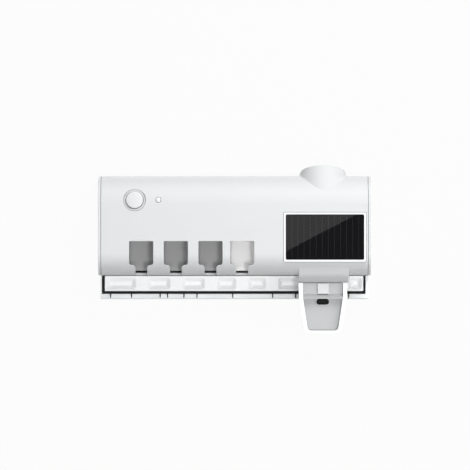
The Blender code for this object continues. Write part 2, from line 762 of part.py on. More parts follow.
def front_housing(material):
    """The moulded front: a D-shaped shell with windows, solar recess, button seat, collar and chin."""
    outline = housing_corners()
    cavity = inset(outline, WALL)
    cavity[0] = (HOUSING_BACK_Y + OVERRUN, WALL, 0)
    cavity[1] = (HOUSING_BACK_Y + OVERRUN, HOUSING_HEIGHT - WALL, 0)
    housing = side_plate("front_housing", rounded(outline), -HOUSING_HALF, HOUSING_HALF)
    reach = HOUSING_HALF + OVERRUN
    cut(housing, side_plate("housing_cavity", rounded(cavity), -reach, reach))

    recess_margin = 2 * GAP + SOLAR_BEZEL
    solar_seat = solar_seat_block(0)
    button = button_frame(BUTTON_X)
    boss = cylinder("button_boss", BUTTON_BOSS_RADIUS, BUTTON_BOSS_DEPTH, at_depth(button, BUTTON_BOSS_DEPTH))
    boss_limit = side_plate(
        "boss_limit", rounded(inset(outline, WALL / 2)), BUTTON_X - 2 * BUTTON_BOSS_RADIUS,
        BUTTON_X + 2 * BUTTON_BOSS_RADIUS)
    combine(boss, [boss_limit], "INTERSECT")
    pillar_bottom = -board_top() - GAP
    pillars = [
        cylinder("pillar", BOARD_PILLAR_RADIUS, pillar_bottom - BOARD_PILLAR_TOP,
                 button @ Matrix.Translation((u, v, -pillar_bottom)), SCREW_STEPS)
        for u, v in pillar_places()
    ]
    chin = side_plate("chin", rounded(chin_corners()), CHIN_LEFT, CHIN_RIGHT)
    collar = cylinder(
        "collar", COLLAR_RADIUS, COLLAR_TOP + COLLAR_SKIRT, at_depth(socket_frame(), COLLAR_SKIRT), COLLAR_STEPS)
    cut(collar, collar_rim_cutter())
    posts = [
        cylinder("post", POST_RADIUS, POST_LENGTH, place(x, HOUSING_BACK_Y - POST_LENGTH, z, TOWARDS_WALL),
                 SCREW_STEPS)
        for x, z in post_places()
    ]
    join(housing, solar_seat, boss, chin, collar, *pillars, *posts)

    cut(housing, chin_cavity(), chin_mouth())
    for x in (*BRUSH_WINDOW_XS, RAZOR_WINDOW_X):
        cut(housing, *window_cutters(x))
    solar_recess = front_plate(
        "solar_recess", solar_outline(recess_margin, SOLAR_CORNER), HOUSING_FRONT_Y - OVERRUN, SOLAR_RECESS_Y)
    button_recess = cylinder(
        "button_recess", BUTTON_RECESS_RADIUS, BUTTON_RECESS_DEPTH + OVERRUN, at_depth(button, BUTTON_RECESS_DEPTH))
    button_hole = cylinder(
        "button_hole", BUTTON_RADIUS + BUTTON_HOLE_CLEARANCE, BUTTON_BOSS_DEPTH + 2 * OVERRUN,
        at_depth(button, BUTTON_BOSS_DEPTH + OVERRUN))
    sensor_hole = cylinder(
        "sensor_hole", SENSOR_RADIUS + SENSOR_HOLE_CLEARANCE, WALL + 2 * OVERRUN,
        at_depth(button_frame(SENSOR_X), WALL + OVERRUN), SENSOR_STEPS)
    bore = cylinder(
        "socket_bore", SOCKET_BORE, COLLAR_TOP + COLLAR_SKIRT + 2 * OVERRUN,
        at_depth(socket_frame(), COLLAR_SKIRT + OVERRUN), COLLAR_STEPS)
    cut(housing, solar_recess, button_recess, button_hole, sensor_hole, bore)
    for x, z in post_places():
        cut(housing, cylinder(
            "screw_bore", SCREW_SHANK_RADIUS + SCREW_CLEARANCE, SCREW_LENGTH + OVERRUN,
            place(x, HOUSING_BACK_Y - SCREW_LENGTH, z, TOWARDS_WALL), SCREW_STEPS))
    return finish(housing, material)


def end_cap(name, side):
    """A D-shaped end plate with a plug that fits inside the shell; side is -1 for left, 1 for right."""
    outer_x = side * HOUSING_WIDTH / 2
    inner_x = side * (HOUSING_WIDTH / 2 - END_CAP_THICKNESS)
    plug_x = inner_x - side * END_PLUG_DEPTH
    plate = side_plate(name, rounded(housing_corners()), min(outer_x, inner_x), max(outer_x, inner_x))
    round_edges(plate, END_CAP_EDGE)
    rim = inset(housing_corners(), WALL + END_PLUG_CLEARANCE)
    hollow = inset(rim, END_PLUG_WALL)
    middle_x = (outer_x + inner_x) / 2
    plug = side_plate("plug", rounded(rim), min(plug_x, middle_x), max(plug_x, middle_x))
    past_x = plug_x - side * OVERRUN
    cut(plug, side_plate("plug_hollow", rounded(hollow), min(past_x, inner_x), max(past_x, inner_x)))
    if side > 0:
        cut(plug, solar_seat_block(END_PLUG_CLEARANCE))
    join(plate, plug)
    return plate if side > 0 else cut_port(plate)


def cut_port(plate):
    """The hole of the charging socket in the left end plate."""
    hole = extruded(
        "port_hole",
        rounded(rectangle(
            PORT_Y - PORT_WIDTH / 2 - PORT_CLEARANCE,
            PORT_Z - PORT_HEIGHT / 2 - PORT_CLEARANCE,
            PORT_Y + PORT_WIDTH / 2 + PORT_CLEARANCE,
            PORT_Z + PORT_HEIGHT / 2 + PORT_CLEARANCE,
            PORT_HEIGHT / 2 - PORT_WALL)),
        -HOUSING_WIDTH / 2 - OVERRUN,
        -HOUSING_WIDTH / 2 + END_CAP_THICKNESS + OVERRUN,
        SIDE_VIEW,
    )
    return cut(plate, hole)


def charging_socket(material):
    """A folded metal inlet shell with its blade, held in the left end plate."""
    left = -HOUSING_WIDTH / 2 + PORT_SUNK
    right = left + PORT_DEPTH
    half = PORT_HEIGHT / 2
    outline = rectangle(
        PORT_Y - PORT_WIDTH / 2, PORT_Z - half, PORT_Y + PORT_WIDTH / 2, PORT_Z + half, half - 2 * PORT_WALL)
    shell = side_plate("charging_socket", rounded(outline), left, right)
    hollow = side_plate(
        "socket_hollow", rounded(inset(outline, PORT_WALL)), left - OVERRUN, right - PORT_WALL)
    blade = box(
        "blade",
        (left + PORT_WALL, PORT_Y - PORT_WIDTH / 2 + PORT_BLADE_INSET, PORT_Z - PORT_WALL),
        (right - PORT_WALL / 2, PORT_Y + PORT_WIDTH / 2 - PORT_BLADE_INSET, PORT_Z + PORT_WALL),
    )
    join(cut(shell, hollow), blade)
    return finish(shell, material)


def bay_liner(name, x, taper_left, taper_right, material):
    """The inside of a window: a back, a top and two sides that close in towards the back."""
    half = WINDOW_WIDTH / 2 + LINER_SIDE_ROOM
    front_y = HOUSING_FRONT_Y + WALL + GAP
    inner_back_y = LINER_BACK_Y - LINER_WALL
    inner = [
        (x - half, front_y - OVERRUN, 0),
        (x + half, front_y - OVERRUN, 0),
        (x + half - taper_right, inner_back_y, LINER_BACK_CORNER),
        (x - half + taper_left, inner_back_y, LINER_BACK_CORNER),
    ]
    outer = [
        (x - half - LINER_WALL, front_y, 0),
        (x + half + LINER_WALL, front_y, 0),
        (x + half - taper_right + LINER_WALL, LINER_BACK_Y, LINER_BACK_CORNER + LINER_WALL),
        (x - half + taper_left - LINER_WALL, LINER_BACK_Y, LINER_BACK_CORNER + LINER_WALL),
    ]
    upright = Matrix.Identity(4)
    liner = extruded(name, rounded(outer), BAY_BOTTOM, LINER_TOP, upright)
    hollow = extruded("bay_hollow", rounded(inner), BAY_BOTTOM - OVERRUN, LINER_TOP - LINER_WALL, upright)
    reach = half + 2 * LINER_WALL
    inside = side_plate("bay_limit", rounded(inset(housing_corners(), WALL + GAP)), x - reach, x + reach)
    channel = cylinder(
        "lamp_channel", LAMP_CHANNEL, 2 * reach, place(x - reach, LAMP_Y, LAMP_Z, ALONG_X), LAMP_STEPS)
    cut(liner, hollow)
    combine(liner, [inside], "INTERSECT")
    cut(liner, channel)
    return finish(liner, material)


def uv_lamp(material):
    """A thin lamp tube that runs above the windows, through all four bays."""
    left = BRUSH_WINDOW_XS[0] - LAMP_END_ROOM
    length = RAZOR_WINDOW_X + LAMP_END_ROOM - left
    lamp = cylinder("uv_lamp", LAMP_RADIUS, length, place(left, LAMP_Y, LAMP_Z, ALONG_X), LAMP_STEPS)
    return finish(lamp, material)


def lamp_holder(name, x, side, material):
    """A clip on the inside of the front wall that takes one end of the lamp in a blind hole."""
    front_y = HOUSING_FRONT_Y + WALL + GAP
    half = LAMP_RADIUS + LAMP_HOLDER_THICKNESS / 2
    outer_x = x + side * (LAMP_HOLDER_THICKNESS / 2)
    inner_x = x - side * LAMP_HOLDER_THICKNESS
    holder = box(
        name,
        (min(outer_x, inner_x), front_y, LAMP_Z - half),
        (max(outer_x, inner_x), LAMP_Y + half, LAMP_Z + half),
    )
    start = x + side * GAP if side < 0 else inner_x - OVERRUN
    end = inner_x + OVERRUN if side < 0 else x + side * GAP
    cut(holder, cylinder(
        "lamp_seat", LAMP_RADIUS + GAP, end - start, place(start, LAMP_Y, LAMP_Z, ALONG_X), LAMP_STEPS))
    return finish(holder, material)


def solar_layer(name, front_y, thickness, margin, radius, material):
    return finish(front_plate(name, solar_outline(margin, radius), front_y, front_y + thickness), material)


def solar_bezel(material):
    margin = GAP + SOLAR_BEZEL
    front_y = HOUSING_FRONT_Y - SOLAR_BEZEL_PROUD
    back_y = SOLAR_RECESS_Y - GAP
    bezel = front_plate("solar_bezel", solar_outline(margin, SOLAR_CORNER), front_y, back_y)
    hole = front_plate("bezel_hole", solar_outline(GAP, SOLAR_CORNER), front_y - OVERRUN, back_y + OVERRUN)
    return finish(cut(bezel, hole), material)


def power_button(material):
    """A domed cap with a skirt, a retaining flange under its boss and a short stem for the switch."""
    flange_top = -BUTTON_BOSS_DEPTH - GAP
    flange_bottom = flange_top - BUTTON_FLANGE_THICKNESS
    shoulder = BUTTON_PROUD - BUTTON_DOME
    profile = [(0, BUTTON_PROUD)]
    for step in range(1, DOME_STEPS + 1):
        angle = math.radians(90) * step / DOME_STEPS
        radius = (BUTTON_RADIUS - BUTTON_EDGE) * math.sin(angle)
        profile.append((radius, shoulder + BUTTON_DOME * math.cos(angle)))
    profile += [
        (BUTTON_RADIUS, shoulder - BUTTON_EDGE),
        (BUTTON_RADIUS, flange_top),
        (BUTTON_FLANGE_RADIUS, flange_top),
        (BUTTON_FLANGE_RADIUS, flange_bottom),
        (BUTTON_STEM_RADIUS, flange_bottom),
        (BUTTON_STEM_RADIUS, -BUTTON_STEM_END),
        (0, -BUTTON_STEM_END),
    ]
    return finish(turned("power_button", profile, button_frame(BUTTON_X)), material)


def button_ring(material):
    """The thin trim ring that lies on the floor of the recess around the button."""
    top = -BUTTON_RECESS_DEPTH + GAP + BUTTON_RING_THICKNESS
    bottom = -BUTTON_RECESS_DEPTH + GAP
    outer = BUTTON_RECESS_RADIUS - GAP
    inner = BUTTON_RADIUS + BUTTON_HOLE_CLEARANCE
    profile = [(inner, top), (outer, top), (outer, bottom), (inner, bottom)]
    return finish(turned("button_ring", profile, button_frame(BUTTON_X), closed=True), material)


def switch_plunger(material):
    top = -BUTTON_STEM_END - GAP
    profile = [
        (0, top),
        (SWITCH_PLUNGER_RADIUS, top),
        (SWITCH_PLUNGER_RADIUS, top - SWITCH_PLUNGER_LENGTH),
        (0, top - SWITCH_PLUNGER_LENGTH),
    ]
    return finish(turned("switch_plunger", profile, button_frame(BUTTON_X), SCREW_STEPS), material)


def tact_switch(material):
    """The square switch body, with a well in which its plunger travels."""
    top = -BUTTON_STEM_END - GAP - SWITCH_PLUNGER_OUT
    half = SWITCH_SIZE / 2
    switch = box("tact_switch", (-half, -half, top - SWITCH_HEIGHT), (half, half, top))
    well = SWITCH_PLUNGER_LENGTH - SWITCH_PLUNGER_OUT + BUTTON_TRAVEL + GAP
    cut(switch, cylinder(
        "switch_well", SWITCH_PLUNGER_RADIUS + GAP, well + OVERRUN,
        button_frame(BUTTON_X) @ Matrix.Translation((0, 0, top - well)), SCREW_STEPS))
    switch.matrix_world = button_frame(BUTTON_X)
    return finish(switch, material)


def board_top():
    return -BUTTON_STEM_END - 2 * GAP - SWITCH_PLUNGER_OUT - SWITCH_HEIGHT


def control_board(material):
    board = box(
        "control_board",
        (BOARD_LEFT, BOARD_BOTTOM, board_top() - BOARD_THICKNESS),
        (BOARD_LEFT + BOARD_WIDTH, BOARD_TOP, board_top()),
    )
    board.matrix_world = button_frame(BUTTON_X)
    return finish(board, material)


def sensor_lens(material):
    """A clear light pipe from the front wall back to the board, with a flange behind the wall."""
    flange_top = -SENSOR_FLANGE_TOP
    flange_bottom = flange_top - SENSOR_FLANGE_THICKNESS
    bottom = board_top() + GAP
    profile = [
        (0, SENSOR_PROUD),
        (SENSOR_RADIUS - SENSOR_PROUD, SENSOR_PROUD),
        (SENSOR_RADIUS, 0),
        (SENSOR_RADIUS, flange_top),
        (SENSOR_FLANGE_RADIUS, flange_top),
        (SENSOR_FLANGE_RADIUS, flange_bottom),
        (SENSOR_RADIUS, flange_bottom),
        (SENSOR_RADIUS, bottom),
        (0, bottom),
    ]
    return finish(turned("sensor_lens", profile, button_frame(SENSOR_X), SENSOR_STEPS), material)


def battery_cell(material):
    """A plain cylindrical cell with a raised contact at one end."""
    half = BATTERY_LENGTH / 2
    profile = [
        (0, half),
        (BATTERY_CONTACT_RADIUS, half),
        (BATTERY_CONTACT_RADIUS, half - BATTERY_CONTACT_HEIGHT),
        (BATTERY_RADIUS - BATTERY_EDGE, half - BATTERY_CONTACT_HEIGHT),
        (BATTERY_RADIUS, half - BATTERY_CONTACT_HEIGHT - BATTERY_EDGE),
        (BATTERY_RADIUS, -half + BATTERY_EDGE),
        (BATTERY_RADIUS - BATTERY_EDGE, -half),
        (0, -half),
    ]
    return finish(turned("battery_cell", profile, place(BATTERY_X, BATTERY_Y, BATTERY_Z, ALONG_X)), material)


def battery_cradle(material):
    """A trough on the rear shell that holds the cell from behind."""
    room = BATTERY_RADIUS + GAP
    half = BATTERY_LENGTH / 2 + GAP
    lip_z = room + CRADLE_WALL
    waist_y = BATTERY_Y + lip_z
    back_y = HOUSING_BACK_Y
    outline = [
        (back_y, BATTERY_Z - CRADLE_FLOOR_HALF, 0),
        (back_y, BATTERY_Z + CRADLE_FLOOR_HALF, 0),
        (waist_y, BATTERY_Z + CRADLE_FLOOR_HALF, 0),
        (waist_y, BATTERY_Z + lip_z, 0),
        (BATTERY_Y, BATTERY_Z + lip_z, 0),
        (BATTERY_Y, BATTERY_Z - lip_z, 0),
        (waist_y, BATTERY_Z - lip_z, 0),
        (waist_y, BATTERY_Z - CRADLE_FLOOR_HALF, 0),
    ]
    cradle = side_plate("battery_cradle", rounded(outline), BATTERY_X - half - CRADLE_END,
                        BATTERY_X + half + CRADLE_END)
    bay = cylinder("cell_bay", room, 2 * half, place(BATTERY_X - half, BATTERY_Y, BATTERY_Z, ALONG_X))
    foot_hollow = box(
        "foot_hollow",
        (BATTERY_X - half, waist_y + CRADLE_WALL, BATTERY_Z - CRADLE_FLOOR_HALF + CRADLE_WALL),
        (BATTERY_X + half, back_y + OVERRUN, BATTERY_Z + CRADLE_FLOOR_HALF - CRADLE_WALL),
    )
    return finish(cut(cradle, bay, foot_hollow), material)


def paste_funnel(material):
    """The funnel inside the collar that leads the paste down into its spout."""
    inner_top = FUNNEL_RADIUS - FUNNEL_WALL
    profile = [
        (FUNNEL_RADIUS, FUNNEL_TOP),
        (FUNNEL_RADIUS, FUNNEL_SHOULDER),
        (FUNNEL_SPOUT_RADIUS, FUNNEL_CONE_END),
        (FUNNEL_SPOUT_RADIUS, FUNNEL_SPOUT_END),
        (FUNNEL_SPOUT_BORE, FUNNEL_SPOUT_END),
        (FUNNEL_SPOUT_BORE, FUNNEL_CONE_END),
        (inner_top, FUNNEL_SHOULDER),
        (inner_top, FUNNEL_TOP),
    ]
    return finish(turned("paste_funnel", profile, socket_frame(), closed=True), material)


def socket_seal(material):
    """The soft ring on the funnel that grips the mouth of a paste tube."""
    bottom = FUNNEL_TOP + GAP
    top = bottom + SEAL_THICKNESS
    profile = [
        (FUNNEL_RADIUS, top),
        (FUNNEL_RADIUS, bottom),
        (SEAL_BORE, bottom),
        (SEAL_BORE, top - SEAL_LIP),
        (SEAL_BORE + SEAL_LIP, top),
    ]
    return finish(turned("socket_seal", profile, socket_frame(), closed=True), material)


def feed_hose(material):
    """The soft hose from the funnel's spout to the pump's inlet."""
    spout = socket_frame() @ Vector((0, 0, FUNNEL_SPOUT_END - GAP))
    start = socket_frame() @ Vector((0, 0, FUNNEL_SPOUT_END - GAP - HOSE_STRAIGHT))
    inlet = Vector((SOCKET_X, CHIMNEY_Y, CHIMNEY_TOP + GAP))
    pull = HOSE_PULL_SHARE * (spout.z - inlet.z)
    start_pull = socket_frame() @ Vector((0, 0, FUNNEL_SPOUT_END - GAP - pull))
    end = inlet + Vector((0, 0, HOSE_STRAIGHT))
    end_pull = inlet + Vector((0, 0, pull))
    route = [spout]
    for index in range(HOSE_POINTS):
        t = index / (HOSE_POINTS - 1)
        rest = 1 - t
        route.append(rest ** 3 * start + 3 * rest ** 2 * t * start_pull + 3 * rest * t ** 2 * end_pull + t ** 3 * end)
    route.append(inlet)
    curve = bpy.data.curves.new("feed_hose", "CURVE")
    curve.dimensions = "3D"
    curve.bevel_depth = HOSE_RADIUS
    curve.bevel_resolution = HOSE_RESOLUTION
    curve.use_fill_caps = True
    spline = curve.splines.new("POLY")
    spline.points.add(len(route) - 1)
    for point, at in zip(spline.points, route):
        point.co = (*at, 1)
    return finish(bpy.data.objects.new("feed_hose", curve), material)


def pump_body(material):
    """The pump chamber with its inlet chimney, and two cheeks that carry the lever's pin."""
    plate_half = ARM_HALF + CHEEK_SIDE_GAP + CHEEK_THICKNESS + PUMP_PLATE_EDGE
    plate_back_y = PUMP_FRONT_Y + PUMP_PLATE_THICKNESS
    cheek_back_y = PUMP_FRONT_Y + PUMP_PLATE_THICKNESS / 2
    body = box(
        "pump_body",
        (LEVER_X - plate_half, PUMP_FRONT_Y, PUMP_PLATE_BOTTOM),
        (LEVER_X + plate_half, plate_back_y, PUMP_PLATE_TOP),
    )
    chamber_length = PUMP_BORE_END_Y + PUMP_RADIUS - PUMP_BORE - PUMP_FRONT_Y
    pump = place(LEVER_X, PUMP_FRONT_Y, PUMP_Z, TOWARDS_WALL)
    chamber = cylinder("chamber", PUMP_RADIUS, chamber_length, pump)
    chimney = cylinder(
        "chimney", CHIMNEY_RADIUS, CHIMNEY_TOP - PUMP_Z, place(LEVER_X, CHIMNEY_Y, PUMP_Z), SENSOR_STEPS)
    cheeks = []
    for side in (-1, 1):
        inner_x = LEVER_X + side * (ARM_HALF + CHEEK_SIDE_GAP)
        outer_x = inner_x + side * CHEEK_THICKNESS
        cheeks.append(side_plate("cheek", rounded([
            (cheek_back_y, CHEEK_BOTTOM, 0),
            (cheek_back_y, CHEEK_TOP, 0),
            (CHEEK_FRONT_Y, CHEEK_TOP, CHEEK_ROUND),
            (CHEEK_FRONT_Y, CHEEK_BOTTOM, CHEEK_ROUND),
        ]), min(inner_x, outer_x), max(inner_x, outer_x)))
    join(body, chamber, chimney, *cheeks)
    bore = cylinder("chamber_bore", PUMP_BORE, PUMP_BORE_END_Y - PUMP_FRONT_Y + OVERRUN,
                    place(LEVER_X, PUMP_FRONT_Y - OVERRUN, PUMP_Z, TOWARDS_WALL))
    inlet = cylinder("inlet", CHIMNEY_BORE, CHIMNEY_TOP - PUMP_Z + OVERRUN,
                     place(LEVER_X, CHIMNEY_Y, PUMP_Z), SENSOR_STEPS)
    reach = plate_half + OVERRUN
    pin_holes = cylinder("pin_holes", PIN_RADIUS + PIN_CLEARANCE, 2 * reach,
                         place(LEVER_X - reach, PIVOT_Y, PIVOT_Z, ALONG_X), SCREW_STEPS)
    return finish(cut(body, bore, inlet, pin_holes), material)


def lever_pin(material):
    half = ARM_HALF + CHEEK_SIDE_GAP + CHEEK_THICKNESS
    pin = cylinder("lever_pin", PIN_RADIUS, 2 * half, place(LEVER_X - half, PIVOT_Y, PIVOT_Z, ALONG_X), SCREW_STEPS)
    return finish(pin, material)


def lever_outline():
    return rounded([
        (LEVER_X - LEVER_TOP_HALF, LEVER_TOP, LEVER_TOP_ROUND),
        (LEVER_X - LEVER_BEND_HALF, LEVER_BEND_Z, LEVER_BEND_ROUND),
        (LEVER_X - LEVER_BOTTOM_HALF, LEVER_BOTTOM, LEVER_BOTTOM_ROUND),
        (LEVER_X + LEVER_BOTTOM_HALF, LEVER_BOTTOM, LEVER_BOTTOM_ROUND),
        (LEVER_X + LEVER_BEND_HALF, LEVER_BEND_Z, LEVER_BEND_ROUND),
        (LEVER_X + LEVER_TOP_HALF, LEVER_TOP, LEVER_TOP_ROUND),
    ])


def outlet_outline(width, height):
    u = OUTLET_X
    return rounded(rectangle(
        u - width / 2, OUTLET_Z - height / 2, u + width / 2, OUTLET_Z + height / 2, height / 2 - OUTLET_SQUARE))


def band_cutter():
    """The set-back band at the top of the lever, with a slope below it that faces upwards."""
    return side_plate("band", rounded([
        (BAND_FACE_Y, LEVER_TOP + OVERRUN, 0),
        (LEVER_FRONT_Y - OVERRUN, LEVER_TOP + OVERRUN, 0),
        (LEVER_FRONT_Y - OVERRUN, SCOOP_TOP + LEDGE_LIP, 0),
        (LEVER_FRONT_Y, SCOOP_TOP + LEDGE_LIP, 0),
        (BAND_FACE_Y, BAND_BOTTOM, 0),
    ]), LEVER_X - BAND_HALF, LEVER_X + BAND_HALF)


def scoop_cutter():
    """The hollow that the brush head goes into, open at the front."""
    return front_plate("scoop", rounded([
        (LEVER_X - SCOOP_BOTTOM_HALF, SCOOP_BOTTOM, SCOOP_ROUND),
        (LEVER_X + SCOOP_BOTTOM_HALF, SCOOP_BOTTOM, SCOOP_ROUND),
        (LEVER_X + SCOOP_TOP_HALF, SCOOP_TOP, 0),
        (LEVER_X - SCOOP_TOP_HALF, SCOOP_TOP, 0),
    ]), LEVER_FRONT_Y - OVERRUN, SCOOP_FACE_Y)


def lever_back_relief():
    """The sloped back of the lever's top edge, which keeps it clear of the chin as it swings."""
    overrun_share = OVERRUN / RELIEF_DEPTH
    low_y = LEVER_BACK_Y + RELIEF_DEPTH * overrun_share
    low_z = LEVER_TOP - RELIEF_DROP * (1 + overrun_share)
    high_y = LEVER_BACK_Y - RELIEF_DEPTH * (1 + overrun_share)
    high_z = LEVER_TOP + RELIEF_DROP * overrun_share
    return side_plate(
        "back_relief", rounded([(low_y, low_z, 0), (low_y, high_z, 0), (high_y, high_z, 0)]),
        LEVER_X - 2 * LEVER_TOP_HALF, LEVER_X + 2 * LEVER_TOP_HALF)


def dispenser_lever(material):
    """The push lever: a scooped paddle below the chin on an arm that hangs from the pin."""
    lever = front_plate("dispenser_lever", lever_outline(), LEVER_FRONT_Y, LEVER_BACK_Y)
    ring = front_plate(
        "outlet_ring", outlet_outline(OUTLET_WIDTH + 2 * OUTLET_RING, OUTLET_HEIGHT + 2 * OUTLET_RING),
        SCOOP_FACE_Y - OUTLET_RING_PROUD, LEVER_BACK_Y - LEVER_EDGE)
    arm = box(
        "arm",
        (LEVER_X - ARM_HALF, ARM_FRONT_Y, ARM_BOTTOM),
        (LEVER_X + ARM_HALF, ARM_BACK_Y, PIVOT_Z),
    )
    barrel_half = ARM_HALF + BARREL_PROUD
    barrel = cylinder("barrel", BARREL_RADIUS, 2 * barrel_half,
                      place(LEVER_X - barrel_half, PIVOT_Y, PIVOT_Z, ALONG_X), SENSOR_STEPS)
    cut(lever, band_cutter(), scoop_cutter(), lever_back_relief())
    join(lever, ring, arm, barrel)
    hole = front_plate(
        "outlet_hole", outlet_outline(OUTLET_WIDTH + 2 * GAP, OUTLET_HEIGHT + 2 * GAP),
        SCOOP_FACE_Y - OVERRUN, LEVER_BACK_Y + OVERRUN)
    reach = ARM_HALF + OVERRUN
    bore = cylinder("pin_bore", PIN_RADIUS + PIN_CLEARANCE, 2 * reach,
                    place(LEVER_X - reach, PIVOT_Y, PIVOT_Z, ALONG_X), SCREW_STEPS)
    return cut(lever, hole, bore), material


def outlet_nozzle(material):
    """The dark soft nozzle in the lever's oval hole, with a slit for the paste and a flange behind."""
    front_y = SCOOP_FACE_Y - OUTLET_RING_PROUD + OUTLET_SUNK
    nozzle = front_plate("outlet_nozzle", outlet_outline(OUTLET_WIDTH, OUTLET_HEIGHT), front_y,
                         LEVER_BACK_Y + GAP + OUTLET_FLANGE / 2)
    flange = front_plate(
        "nozzle_flange", outlet_outline(OUTLET_WIDTH + 2 * OUTLET_FLANGE, OUTLET_HEIGHT + 2 * OUTLET_FLANGE),
        LEVER_BACK_Y + GAP, LEVER_BACK_Y + GAP + OUTLET_FLANGE)
    slit = front_plate(
        "slit", outlet_outline(OUTLET_WIDTH - 2 * OUTLET_RING, OUTLET_HEIGHT - 2 * OUTLET_RING),
        front_y - OVERRUN, LEVER_BACK_Y + GAP + OUTLET_FLANGE + OVERRUN)
    return cut(join(nozzle, flange), slit), material


def outlet_block(material):
    """The small block on the lever's band, over the paste channel in the arm."""
    block = front_plate("outlet_block", rounded(rectangle(
        LEVER_X + DUCT_OFFSET - DUCT_WIDTH / 2, LEVER_TOP - DUCT_DROP - DUCT_HEIGHT,
        LEVER_X + DUCT_OFFSET + DUCT_WIDTH / 2, LEVER_TOP - DUCT_DROP, DUCT_EDGE)),
        BAND_FACE_Y - GAP - DUCT_THICKNESS, BAND_FACE_Y - GAP)
    return round_edges(block, DUCT_EDGE), material


def pump_plunger(material):
    """The pump's piston and rod, with a domed head that the lever's arm presses on."""
    tip = PLUNGER_TIP_Y
    head_back = tip + PLUNGER_HEAD_DOME + PLUNGER_HEAD_THICKNESS
    piston_back = PISTON_FRONT_Y + PISTON_LENGTH
    profile = [(0, piston_back), (PUMP_BORE - PISTON_CLEARANCE, piston_back),
               (PUMP_BORE - PISTON_CLEARANCE, PISTON_FRONT_Y), (PLUNGER_ROD_RADIUS, PISTON_FRONT_Y),
               (PLUNGER_ROD_RADIUS, head_back), (PLUNGER_HEAD_RADIUS, head_back)]
    for step in range(DOME_STEPS + 1):
        share = 1 - step / DOME_STEPS
        profile.append((PLUNGER_HEAD_RADIUS * share, tip + PLUNGER_HEAD_DOME * share ** 2))
    local = [(radius, y - PUMP_FRONT_Y) for radius, y in profile]
    plunger = turned("pump_plunger", local, place(LEVER_X, PUMP_FRONT_Y, PUMP_Z, TOWARDS_WALL), SENSOR_STEPS)
    return finish(plunger, material)


def return_spring(material):
    """The coil around the plunger's rod that pushes the lever back out."""
    start_y = PLUNGER_TIP_Y + PLUNGER_HEAD_DOME + PLUNGER_HEAD_THICKNESS + GAP + SPRING_WIRE
    end_y = PUMP_FRONT_Y - GAP - SPRING_WIRE
    curve = bpy.data.curves.new("return_spring", "CURVE")
    curve.dimensions = "3D"
    curve.bevel_depth = SPRING_WIRE
    curve.bevel_resolution = 1
    curve.use_fill_caps = True
    spline = curve.splines.new("POLY")
    count = round(SPRING_TURNS * SPRING_TURN_POINTS)
    spline.points.add(count)
    for index, point in enumerate(spline.points):
        angle = math.tau * index / SPRING_TURN_POINTS
        y = start_y + (end_y - start_y) * index / count
        point.co = (LEVER_X + SPRING_RADIUS * math.cos(angle), y, PUMP_Z + SPRING_RADIUS * math.sin(angle), 1)
    return finish(bpy.data.objects.new("return_spring", curve), material)


def rear_shell(material):
    """The back plate with its apron below the housing: a lip at the bottom and a wall at each end."""
    half = REAR_WIDTH / 2
    lip_back_y = APRON_FRONT_Y + REAR_THICKNESS
    floor_top = APRON_BOTTOM + REAR_THICKNESS
    shell = side_plate("rear_shell", rounded([
        (REAR_BACK_Y, APRON_BOTTOM, 0),
        (REAR_BACK_Y, HOUSING_HEIGHT - REAR_TOP_INSET, 0),
        (REAR_FRONT_Y, HOUSING_HEIGHT - REAR_TOP_INSET, 0),
        (REAR_FRONT_Y, floor_top, APRON_CORNER),
        (lip_back_y, floor_top, 0),
        (lip_back_y, APRON_LIP_TOP, 0),
        (APRON_FRONT_Y, APRON_LIP_TOP, 0),
        (APRON_FRONT_Y, APRON_BOTTOM, APRON_CORNER),
    ]), -half, half)
    for side in (-1, 1):
        inner_x = side * APRON_HALF
        outer_x = side * (half + OVERRUN)
        cut(shell, box(
            "apron_end",
            (min(inner_x, outer_x), APRON_FRONT_Y - OVERRUN, APRON_BOTTOM - OVERRUN),
            (max(inner_x, outer_x), REAR_BACK_Y + OVERRUN, -GAP),
        ))
    left_wall = box(
        "apron_left",
        (-APRON_HALF, APRON_FRONT_Y, APRON_BOTTOM + APRON_CORNER),
        (TRIM_LEFT - GAP, REAR_FRONT_Y + REAR_THICKNESS / 2, APRON_END_TOP),
    )
    right_wall = box(
        "apron_right",
        (TRIM_RIGHT + GAP, APRON_FRONT_Y, APRON_BOTTOM + APRON_CORNER),
        (APRON_HALF, REAR_FRONT_Y + REAR_THICKNESS / 2, APRON_END_TOP),
    )
    tabs = []
    for x in (-TAB_SPACING, 0, TAB_SPACING):
        top = HOUSING_HEIGHT - WALL - GAP
        tabs.append(box(
            "tab",
            (x - TAB_WIDTH / 2, REAR_FRONT_Y - TAB_LENGTH, top - TAB_THICKNESS),
            (x + TAB_WIDTH / 2, REAR_FRONT_Y + REAR_THICKNESS / 2, top),
        ))
    join(shell, left_wall, right_wall, *tabs)
    for x, z in post_places():
        cut(shell, cylinder("screw_hole", SCREW_SHANK_RADIUS + SCREW_CLEARANCE, REAR_THICKNESS + 2 * OVERRUN,
                            place(x, REAR_FRONT_Y - OVERRUN, z, TOWARDS_WALL), SCREW_STEPS))
    for side in (-1, 1):
        middle = side * HOOK_SPACING / 2
        slot_half = HOOK_WIDTH / 2 + SLOT_SIDE_CLEARANCE
        cut(shell, box(
            "hook_slot",
            (middle - slot_half, REAR_FRONT_Y - OVERRUN, HOOK_BASE_BOTTOM - LIFT - SLOT_LOWER_CLEARANCE),
            (middle + slot_half, REAR_BACK_Y + OVERRUN, HOOK_BASE_BOTTOM + HOOK_BASE_THICKNESS + GAP),
        ))
    return finish(shell, material)


